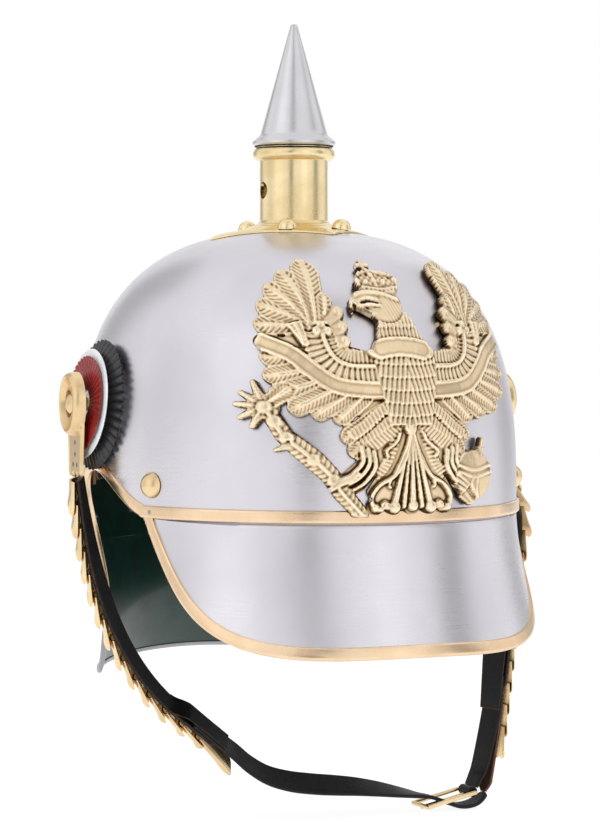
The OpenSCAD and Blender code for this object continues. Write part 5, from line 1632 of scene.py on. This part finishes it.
@dataclass
class ScaleChain:
    """Overlapping brass scales on a leather strip, hanging from a rosette along a leaning line."""

    finishes: Finishes
    side: Side
    top: Pair = (114.2, 13.979)
    count: int = 14
    pitch: float = 11.3
    wide: float = 25.0
    end_wide: float = 12.5
    thick: float = 0.8
    sag: float = 3.0
    long: float = 16.8
    hang: float = 8.5
    backing: float = 2.0
    turn_top: float = 28.0
    turn_low: float = 36.5
    step: float = 4.0
    steps: int = 46
    line: Array = field(default_factory=lambda: np.zeros((0, 2)))

    def __post_init__(self) -> None:
        """Walks the leather's face down from its top in even steps."""
        a = np.radians([self.lean((k + 0.5) * self.step) for k in range(self.steps)])
        walked = np.cumsum(self.step * np.stack([np.sin(a), np.cos(a)], -1), 0)
        self.line = np.array(self.top) - np.concatenate([[[0.0, 0.0]], walked])

    def lean(self, s: float) -> float:
        """Angle in degrees between the chain and straight down, more than nothing towards the middle."""
        if self.side is Side.RIGHT:
            return 9 + 42 * min(1.0, s / 130) ** 1.8
        return float(-30 + 35.2 * ramp(np.array((s - 6) / 34)) + 5 * ramp(np.array((s - 125) / 30)))

    def at(self, s: float) -> Array:
        """Place of the leather's face as distance from the middle and height."""
        u = min(len(self.line) - 1.01, max(0.0, s / self.step))
        i = int(u)
        return mix(self.line[i], self.line[i + 1], u - i)

    def frame(self, s: float) -> tuple[Array, Array, Array]:
        """Directions at a run: down the chain, over its width, and out of its face, turned to the back."""
        a, sign = math.radians(self.lean(s)), self.side.value
        b = math.radians(float(mix(self.turn_top, self.turn_low, ramp(np.array(s / 60.0)))))
        down = np.array([-sign * math.sin(a), 0.0, -math.cos(a)])
        out = np.array([sign * math.cos(a), 0.0, -math.sin(a)])
        back = np.array([0.0, 1.0, 0.0])
        return down, back * math.cos(b) - out * math.sin(b), out * math.cos(b) + back * math.sin(b)

    def width(self, s: float) -> float:
        """Width of the scales at a run."""
        return float(mix(self.wide, self.end_wide, min(1.0, s / (self.pitch * (self.count - 1)))))

    def set_down(self, form: Form, s: float) -> Form:
        """Form with local Z down the chain and X outwards, set on the chain at a run."""
        p = self.at(s)
        down, wide, out = self.frame(s)
        m = np.eye(4)
        m[:3, 0], m[:3, 1], m[:3, 2] = out, wide, down
        m[:3, 3] = (self.side.value * p[0], POST_Y, p[1])
        return form.moved(Matrix(m.tolist())).outward()

    def scale(self, wide: float, long: float, lobes: int) -> Form:
        """One scale: a grid over its width whose lower end follows the lobes, bent round and dished.

        Its edge lies at length - lobe/2 + √(lobe²/4 - (y - lobe middle)²); its outer face is the bend's
        circle with a rolled border and a swelling on every lobe.

        Args:
            wide: width.
            long: length to the end of the middle lobe.
            lobes: number of lobes.

        Returns:
            The closed scale.
        """
        lobe = wide / lobes * 1.12 if lobes > 1 else wide
        step = (wide - lobe) / (lobes - 1) if lobes > 1 else 0.0
        y = np.linspace(-wide / 2, wide / 2, 24 * lobes + 1)[:, None]
        mids = step * np.arange(lobes) + (lobe - wide) / 2
        near = np.min(np.abs(y - mids[None]), axis=1)[:, None]
        reach = long - lobe / 2 + np.sqrt(np.maximum(0.0, lobe**2 / 4 - near**2))
        t = joined(np.linspace(0, 0.8, 18)[:-1], np.linspace(0.8, 0.96, 10)[:-1], 0.97, 0.985, 1.0)[None]
        z = t * reach
        bend = (wide * wide / 4 + self.sag**2) / (2 * self.sag)
        face = np.sqrt(bend**2 - y**2) - bend + 0 * z
        gone = reach - z
        side = wide / 2 - np.abs(y)
        swell = 0.9 * np.exp(-((z - long + lobe * 0.55) / (lobe * 0.42)) ** 2)
        swell = swell * (1 - 0.85 * (2 * near / lobe) ** 2)
        groove = -0.5 * np.exp(-((near - lobe / 2 + 0.1) / 0.5) ** 2) * ramp((z - long + lobe * 1.7) / 2.5)
        groove = groove * (lobes > 1) * ramp((side - 0.6) / 0.8)
        roll = -0.5 * ramp((0.7 - np.minimum(gone, side)) / 0.7) ** 2
        out = face + (0.25 + swell) * ramp(np.minimum(gone, side) / 1.4) + groove + roll
        low = face - self.thick
        rise = self.sag + 0.9
        c, d = math.cos(math.radians(self.hang)), math.sin(math.radians(self.hang))

        def laid(x: Array) -> Array:
            """Grid leant outwards about its top by the hang."""
            return np.stack([rise + x * c + z * d, y + 0 * z, z * c - x * d], -1)

        return sheet_form(laid(out), laid(low))

    def strip(self, start: float, to: float, wide: float, cover: bool = False) -> Form:
        """Leather strip under the scales with rounded edges.

        Args:
            start: run where it starts.
            to: run where it ends.
            wide: half its width as a share of the scales' width.
            cover: True for the inner layer that holds a strap's end.

        Returns:
            The strip with the mark edge.
        """
        s = np.linspace(start, to, 61)
        _, wide_to, out = np.array([self.frame(v) for v in s]).transpose(1, 0, 2)
        p = np.array([self.at(v) for v in s])
        half = np.array([self.width(v) for v in s]) * wide
        half = half * (1 if cover else np.sqrt(np.clip((to - s) / 5.0, 0.12, 1)))
        path = np.stack([self.side.value * p[:, 0], np.full(len(s), POST_Y), p[:, 1]], -1)
        if not cover:
            return leather_ribbon(path, wide_to, out, half, -0.1, -self.backing)
        path = path + out * (3.3 * (1 - ramp((s - start) / 12.0)))[:, None]
        return leather_ribbon(path, wide_to, out, half, -4.3, -5.3)

    def build(self) -> None:
        """Adds the scales pair by pair, and the leather."""
        f, word = self.finishes, self.side.word
        for pair in range(7):
            forms = []
            for i in (2 * pair, 2 * pair + 1):
                last = i == self.count - 1
                if last and self.side is Side.LEFT:
                    continue
                s = i * self.pitch
                scale = self.scale(self.width(s), self.long * (1.7 if last else 1), 1 if last else 3)
                forms.append(self.set_down(scale, s))
            add_piece(f"chin_scales_{word}_{pair + 1}", forms, [f.scale_brass],
                      f"scales_{word}_{pair + 1}", 44.0, Body.CHAIN)
        if self.side is Side.RIGHT:
            forms = [self.strip(0.4, 158.0, 0.44), self.strip(124.0, 161.0, 0.5, True)]
        else:
            tab = self.strip(118.0, 170.0, 0.36)
            tab.batches = [(faces, 1) for faces, _ in tab.batches]
            forms = [self.strip(0.4, 119.0, 0.44), tab, self.strip(78.0, 127.0, 0.45, True)]
        add_piece(f"chain_leather_{word}", forms, [f.black_leather, f.brown_leather],
                  f"backing_{word}", 60.0, Body.CHAIN)


def leather_ribbon(path: Array, wide: Array, out: Array, half: Array, high: float, low: float,
                   raw: float = 1.0) -> Form:
    """Leather strip of a rounded cross-section with the mark edge, 1 on its raw edges.

    Args:
        path: n × 3 places.
        wide: n × 3 directions over its width.
        out: n × 3 directions square to its face.
        half: half width at every place.
        high: level of the outer face along out.
        low: level of the inner face.
        raw: how raw the edge is, 0 for painted.

    Returns:
        The strip.
    """
    mid, h = (high + low) / 2, abs(high - low) / 2
    t = joined(-1, -0.93, np.linspace(-0.86, 0.86, 11), 0.93, 1)
    top = [(v, 1.0 - 0.5 * max(0.0, abs(v) - 0.93) / 0.07) for v in t]
    loop = top + [(1.0, 0.0)] + [(-v, -w) for v, w in top] + [(-1.0, 0.0)]
    u, v = np.array([p[0] for p in loop]), np.array([p[1] for p in loop])
    prof = np.stack([-half[:, None] * u[None], mid + h * v[None] + 0 * half[:, None]], -1)
    form = sweep(path, wide, out, prof)
    edge = np.where(u < -0.9, 1.0, np.where(u > 0.985, 0.45, 0.0))
    marks = np.concatenate([np.tile(edge, len(path)), [1.0, 1.0]])
    marks[len(u) * (len(path) - 1): len(u) * len(path)] = 1.0
    form.marks = {"edge": raw * marks}
    return form


@dataclass
class ChinStraps:
    """Long strap from the right chain through the buckle, and short strap to the left chain."""

    finishes: Finishes
    left: ScaleChain
    right: ScaleChain
    wide: float = 12.5
    thick: float = 1.8
    backing: float = 2.0
    gap: float = 0.3
    buckle: Pair = (86.5, -154.5)
    buckle_turn: float = 12.0
    bar: float = 13.9
    lead: Pair = (2.0, 2.2)
    loop_r: float = 2.05

    def inside(self, chain: ScaleChain, s: float) -> tuple[float, float, float, float]:
        """Place of a strap on the inner side of a chain's leather, with its twist."""
        p, out = chain.at(s), chain.frame(s)[2]
        d = self.backing + self.thick / 2 + self.gap
        twist = math.degrees(math.asin(out[1]))
        return (chain.side.value * p[0] - d * out[0], POST_Y - d * out[1], p[1] - d * out[2], twist)

    def ribbon(self, route: list[tuple[float, float, float, float]], count: int, tapers: bool) -> Form:
        """Strap through places with a twist that turns its width up at the back.

        Args:
            route: places as x, y, z and twist in degrees.
            count: places along the finished strap.
            tapers: whether its end comes to a point.

        Returns:
            The strap.
        """
        r = smooth_path(np.array(route, float), count)
        path = r[:, :3]
        along = unit(np.gradient(path, axis=0))
        flat = unit(np.stack([-along[:, 2], 0 * r[:, 0], along[:, 0]], -1))
        twist = np.radians(r[:, 3])[:, None]
        wide = unit(np.array([0.0, 1.0, 0.0]) * np.cos(twist) + flat * np.sin(twist))
        out = unit(np.cross(wide, along))
        half = np.full(count, self.wide / 2)
        if tapers:
            tail = np.clip((count - 1 - np.arange(count)) / (count * 0.075), 0, 1)
            half = half * (0.28 + 0.72 * np.sqrt(1 - (1 - tail) ** 2))
        return leather_ribbon(path, wide, out, half, self.thick / 2, -self.thick / 2, 0.0)

    def build(self) -> None:
        """Adds both straps."""
        f = self.finishes
        free = [(-31, -123.8, 40), (-23, -130.6, 42), (-13, -136.6, 45), (-1, -140.4, 48), (12, -142.6, 48),
                (24, -144, 45), (36, -145.4, 38), (48, -147.3, 28), (58, -149.2, 18), (67, -151, 8),
                (74, -152.5, 0), (80, -154, 0), (86, -156.4, 0), (92, -158.6, 0), (98, -159, 0),
                (104, -157.6, 0), (110, -153.6, 0)]
        route = [self.inside(self.right, s) for s in (140, 148, 157)]
        route += [(float(x), POST_Y, float(z), float(t)) for x, z, t in free]
        strap = self.ribbon(route, 240, True)
        add_piece("long_chin_strap", [strap], [f.black_leather], "chin_strap", 60.0,
                  Body.CHAIN)
        a = math.radians(self.buckle_turn)
        bar = (self.buckle[0] + self.bar * math.cos(a), self.buckle[1] + self.bar * math.sin(a))
        y = POST_Y
        short = [(bar[0] + self.lead[0], y, bar[1] + self.lead[1], 0.0), (bar[0] + 4.2, y, bar[1] + 6.5, 4.0),
                 (bar[0] + 7.5, y, bar[1] + 14.0, 12.0)]
        short += [self.inside(self.left, s) for s in (128, 118, 110)]
        add_piece("short_chin_strap", [self.ribbon(short, 60, False), self.loop(bar)], [f.black_leather],
                  "short_strap", 60.0, Body.CHAIN)

    def loop(self, bar: Pair) -> Form:
        """End of the short strap turned round the buckle's bar.

        Args:
            bar: middle of the bar as x and z.

        Returns:
            The turned leather, an open ring about the bar.
        """
        a = math.atan2(self.lead[1], self.lead[0]) + np.linspace(math.radians(-38), math.radians(300), 40)
        out = np.stack([np.cos(a), 0 * a, np.sin(a)], -1)
        path = np.array([bar[0], POST_Y, bar[1]]) + self.loop_r * out
        wide = np.tile([0.0, 1.0, 0.0], (40, 1))
        return leather_ribbon(path, wide, out, np.full(40, self.wide / 2 - 0.3), 0.6, -0.6, 0.0)


@dataclass
class Liner:
    """Sweatband of leather inside the shell and eight tongues that rise from it."""

    finishes: Finishes
    offset: float = 3.35
    thick: float = 2.0
    low: float = 8.0
    top: float = 36.0
    tongues: int = 8
    tongue_top: float = 99.9
    tongue_half: float = 18.9
    tongue_thick: float = 1.6
    seam_drop: float = 3.2
    stitch: float = 4.2
    thread: float = 0.7

    def band(self) -> Form:
        """Sweatband: the wall's formula set inwards, its lower edge following the ear arch.

        Returns:
            The band with the mark edge on its borders.
        """
        phi = np.linspace(0, 360, 240, endpoint=False)[:, None]
        t = joined(0, 0.012, 0.04, np.linspace(0.08, 0.92, 12), 0.96, 0.988, 1.0)[None]
        low = np.maximum(self.low, SHAPE.edge_z(phi) + 4)
        z = mix(low, self.top, t)
        pinch = 0.55 * np.exp(-((t - 0) / 0.02) ** 2) + 0.55 * np.exp(-((t - 1) / 0.02) ** 2)
        wave = 0.25 * np.sin(np.radians(phi) * 24) * ramp((t - 0.5) / 0.4)
        outer = SHAPE.lift(phi, z, -self.offset - pinch + 0 * z)
        inner = SHAPE.lift(phi, z, -self.offset - self.thick + pinch - np.abs(wave) + 0 * z)
        form = sheet_form(outer, inner, True)
        edge = np.broadcast_to(np.where((t < 0.02) | (t > 0.98), 1.0, 0.0), z.shape).ravel()
        form.marks = {"edge": np.concatenate([edge, edge])}
        return form

    def tongue(self, mid: float) -> Form:
        """Tongue: narrows upwards, leaves the wall by a square law and ends round.

        Args:
            mid: its angle from the front.

        Returns:
            The tongue with the mark edge.
        """
        t = joined(np.linspace(0, 0.84, 22)[:-1], np.linspace(0.84, 1.0, 12))[None]
        u = joined(-1, -0.975, -0.93, np.linspace(-0.85, 0.85, 15), 0.93, 0.975, 1)[:, None]
        half = self.tongue_half * (1 - 0.35 * t)
        half = half * np.where(t > 0.84, np.sqrt(np.maximum(0.02, 1 - ((t - 0.84) / 0.166) ** 2)), 1.0)
        sag = 1.0 * np.sin(math.pi * t) * (1 - u * u)
        z = mix(self.top + 0.3, self.tongue_top, t) + 0 * u
        off = -(self.offset + 14 * t * t) - sag
        pinch = 0.45 * ramp((np.abs(u) - 0.93) / 0.07)
        phi = mid + half * u
        outer = SHAPE.lift(phi, z, off - pinch)
        inner = SHAPE.lift(phi, z, off - self.tongue_thick + pinch)
        form = sheet_form(outer, inner)
        edge = np.broadcast_to(np.where((np.abs(u) > 0.96) | (t > 0.985), 1.0, 0.0), z.shape).ravel()
        form.marks = {"edge": np.concatenate([edge, edge])}
        return form

    def stitches(self) -> list[Form]:
        """Seam under the band's top: round rods whose lift ½ - 0.9 u⁴ dips both ends into the leather.

        Returns:
            One rod a stitch.
        """
        phi, z = np.linspace(0, 360, 361), np.full(361, self.top - self.seam_drop)
        path, out = SHAPE.lift(phi, z, -self.offset - self.thick + 0 * z), -SHAPE.normal(phi, z)
        run = joined(0, np.cumsum(np.linalg.norm(np.diff(path, axis=0), axis=1)))
        up, u = np.tile([0.0, 0.0, 1.0], (9, 1)), np.linspace(-1, 1, 9)
        lift = (self.thread * (0.5 - 0.9 * u**4) - 0.05)[:, None]
        a = np.linspace(0, 2 * math.pi, 8, endpoint=False)
        ring = np.stack([np.cos(a), np.sin(a)], -1) * self.thread / 2
        rods = []
        for k in range(int(run[-1] / self.stitch)):
            s = np.linspace(k + 0.16, k + 0.84, 9) * self.stitch
            here, away = (np.stack([np.interp(s, run, v[:, i]) for i in range(3)], -1) for v in (path, out))
            rods.append(sweep(here + lift * unit(away), up, unit(away), ring))
        return rods

    def build(self) -> None:
        """Adds band, tongues and stitches."""
        f = self.finishes
        flaps = [self.tongue((k + 0.5) * 360 / self.tongues) for k in range(self.tongues)]
        add_piece("sweatband", [self.band()], [f.brown_leather], "liner_band", 50.0)
        add_piece("liner_flaps", flaps, [f.brown_leather], "liner_tongues", 50.0)
        add_piece("sweatband_stitches", self.stitches(), [f.thread])


# CAD solids that stay, and the picture


def dress_cad(finishes: Finishes) -> None:
    """Gives every CAD solid that stays the finish that its name calls for.

    Args:
        finishes: the finishes.
    """
    f = finishes
    kinds = {f.bolt_steel: "flat_rivets rivet_washers base_nuts spike_stud side_nuts", f.steel: "lap_rivets",
             f.brass: "base_studs spike_column spike_socket", f.spike_steel: "spike_cone",
             f.black_leather: "spike_washer",
             f.scale_brass: "dome_rivets eagle_posts eagle_nuts side_posts side_screws buckle_frame "
                            "buckle_tongue strap_stud"}
    finish_of = {node: finish for finish, nodes in kinds.items() for node in nodes.split()}
    for obj in bpy.data.objects:
        finish = finish_of.get(obj.name.split(".")[0])
        if obj.type != "MESH" or finish is None:
            continue
        if not obj.data.materials:
            obj.data.materials.append(finish)
        for k in range(len(obj.data.materials)):
            obj.data.materials[k] = finish
        LOG.info("%s: dressed", obj.name)


@dataclass
class Studio:
    """White room: camera of the photograph, soft lights, a white floor, and grey and bright boards."""

    turn: float = 25.0
    shift_x: float = 3.0
    far: float = 1500.0
    eye_z: float = 90.6
    focal_px: float = 3000.0
    rise_px: float = -100.0
    sensor: float = 36.0
    floor_z: float = -160.6
    floor_r: float = 2.4

    def axes(self) -> tuple[Vector, Vector]:
        """Directions to the right of the camera's view and towards the camera."""
        a = math.radians(self.turn)
        return Vector((math.cos(a), -math.sin(a), 0)), Vector((-math.sin(a), -math.cos(a), 0))

    def spot(self, right: float, front: float, up: float) -> Vector:
        """Place in metres from its distances beside, before and over the helmet."""
        to_right, to_front = self.axes()
        return to_right * right + to_front * front + Vector((0, 0, up))

    def camera(self) -> None:
        """Adds the camera: level, at 25 degrees to the helmet's front, with a raised picture centre."""
        data = bpy.data.cameras.new("photo_camera")
        data.sensor_fit, data.sensor_height = "VERTICAL", self.sensor
        data.lens = self.focal_px * self.sensor / PHOTO_HEIGHT
        data.shift_y = self.rise_px / PHOTO_HEIGHT
        data.clip_start, data.clip_end = 0.05, 50.0
        obj = bpy.data.objects.new("photo_camera", data)
        obj.location = self.spot(self.shift_x * MM, self.far * MM, self.eye_z * MM)
        obj.rotation_euler = (math.radians(90), 0, -math.radians(self.turn))
        bpy.context.scene.collection.objects.link(obj)
        bpy.context.scene.camera = obj

    def light(self, name: str, at: Triple, size: Pair, power: float) -> None:
        """Adds a soft rectangular light that faces the helmet and that metal doesn't mirror.

        Args:
            name: its name.
            at: distances beside, before and over the helmet, in metres.
            size: width and height in metres.
            power: watts.
        """
        data = bpy.data.lights.new(name, "AREA")
        data.shape, data.size, data.size_y, data.energy = "RECTANGLE", size[0], size[1], power
        obj = bpy.data.objects.new(name, data)
        obj.location = self.spot(*at)
        obj.rotation_euler = (Vector((0, 0, 0.02)) - obj.location).to_track_quat("-Z", "Y").to_euler()
        obj.visible_glossy = False
        bpy.context.scene.collection.objects.link(obj)

    def sheet(self, corners: list[Vector], finish: Material) -> bpy.types.Object:
        """Adds a flat sheet of the studio, named like its material."""
        mesh = bpy.data.meshes.new(finish.name)
        mesh.from_pydata(corners, [], [tuple(range(len(corners)))])
        mesh.materials.append(finish)
        obj = bpy.data.objects.new(finish.name, mesh)
        bpy.context.scene.collection.objects.link(obj)
        return obj

    def card(self, name: str, place: Triple, size: Pair, strength: float) -> None:
        """Adds a board that only reflections see, facing the helmet.

        Args:
            name: its name.
            place: distances beside, before and over the helmet, in metres.
            size: width and height in metres.
            strength: strength of its white light.
        """
        n, at = Nodes(name), self.spot(*place)
        n.show(n.glow(strength))
        turn = (Vector((0, 0, 0.03)) - at).to_track_quat("Z", "Y").to_matrix()
        w, h = size[0] / 2, size[1] / 2
        obj = self.sheet([at + turn @ Vector(c) for c in ((-w, -h, 0), (w, -h, 0), (w, h, 0), (-w, h, 0))],
                         n.material)
        obj.visible_camera = obj.visible_shadow = obj.visible_diffuse = False

    def floor(self) -> None:
        """Adds a round floor under the straps, white to every ray that sees it but in the helmet's shadow."""
        n = Nodes("studio_floor")
        n.set(Base_Color=n.blend(n.range(n.noise(3.0), 0.3, 0.7, 0, 1), tint(0.93, 0.93, 0.935),
                                 tint(0.96, 0.96, 0.96)), Roughness=0.9, Specular_IOR_Level=0.0)
        share = n.maths("MULTIPLY", n.seen(), 0.8)
        n.show(n.add("MixShader", {0: share, 1: n.shader.outputs[0], 2: n.glow(1.13)}).outputs[0])
        a = np.linspace(0, 2 * math.pi, 96, endpoint=False)
        r, z = self.floor_r, self.floor_z * MM
        self.sheet([Vector((r * math.cos(v), r * math.sin(v), z)) for v in a], n.material)

    def world(self) -> None:
        """Sets the world: white to the camera and to glossy and transmitted rays, softer as light."""
        n = Nodes("studio", True)
        n.set(Color=tint(1, 1, 1), Strength=n.range(n.seen(), 0, 1, 0.5, 1))
        bpy.context.scene.world = n.material

    def build(self) -> None:
        """Sets up the whole studio."""
        bpy.context.scene.view_settings.view_transform = "Standard"
        self.camera()
        self.world()
        self.floor()
        for light in (("key_left", (-1.5, 1.3, 1.2), (1.0, 1.4), 24.0),
                      ("fill_right", (1.6, 1.0, 0.9), (0.9, 1.4), 11.0),
                      ("top", (0.1, -0.3, 1.7), (1.4, 1.2), 12.0),
                      ("back", (-0.3, -1.8, 1.0), (1.6, 1.2), 10.0)):
            self.light(*light)
        for card in (("bright_left", (-1.25, 1.0, 0.75), (0.9, 1.3), 1.22),
                     ("bright_right", (0.95, 1.35, 0.35), (0.55, 1.3), 1.2),
                     ("grey_front", (-0.28, 1.75, 0.0), (0.34, 1.5), 0.2),
                     ("grey_front_top", (-0.1, 1.55, 1.15), (0.5, 0.7), 0.45),
                     ("grey_right", (1.75, 0.35, 0.2), (0.6, 1.8), 0.4),
                     ("grey_left", (-1.8, 0.1, 0.1), (0.7, 1.8), 0.85),
                     ("grey_back_left", (-1.15, -1.5, 0.3), (0.8, 2.6), 0.5),
                     ("grey_back_right", (1.2, -1.4, 0.3), (0.7, 2.6), 0.55),
                     ("grey_top", (0.1, 0.65, 1.7), (0.8, 0.35), 0.45)):
            self.card(*card)


def main() -> None:
    """Builds every sub-assembly in order, the studio last."""
    logging.basicConfig(level=logging.INFO, format="%(name)s %(message)s")
    finishes = Finishes()
    SteelShell(finishes).build()
    SpikeMount(finishes).build()
    EaglePlate(finishes).build()
    right = ScaleChain(finishes, Side.RIGHT)
    left = ScaleChain(finishes, Side.LEFT, turn_top=10.0, turn_low=20.0, hang=7.0, sag=2.0)
    for chain in (right, left):
        Cockade(finishes, chain.side).build()
        Rosette(finishes, chain.side).build()
        chain.build()
    ChinStraps(finishes, left, right).build()
    Liner(finishes).build()
    dress_cad(finishes)
    Studio().build()
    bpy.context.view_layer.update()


if __name__ == "__main__":
    main()
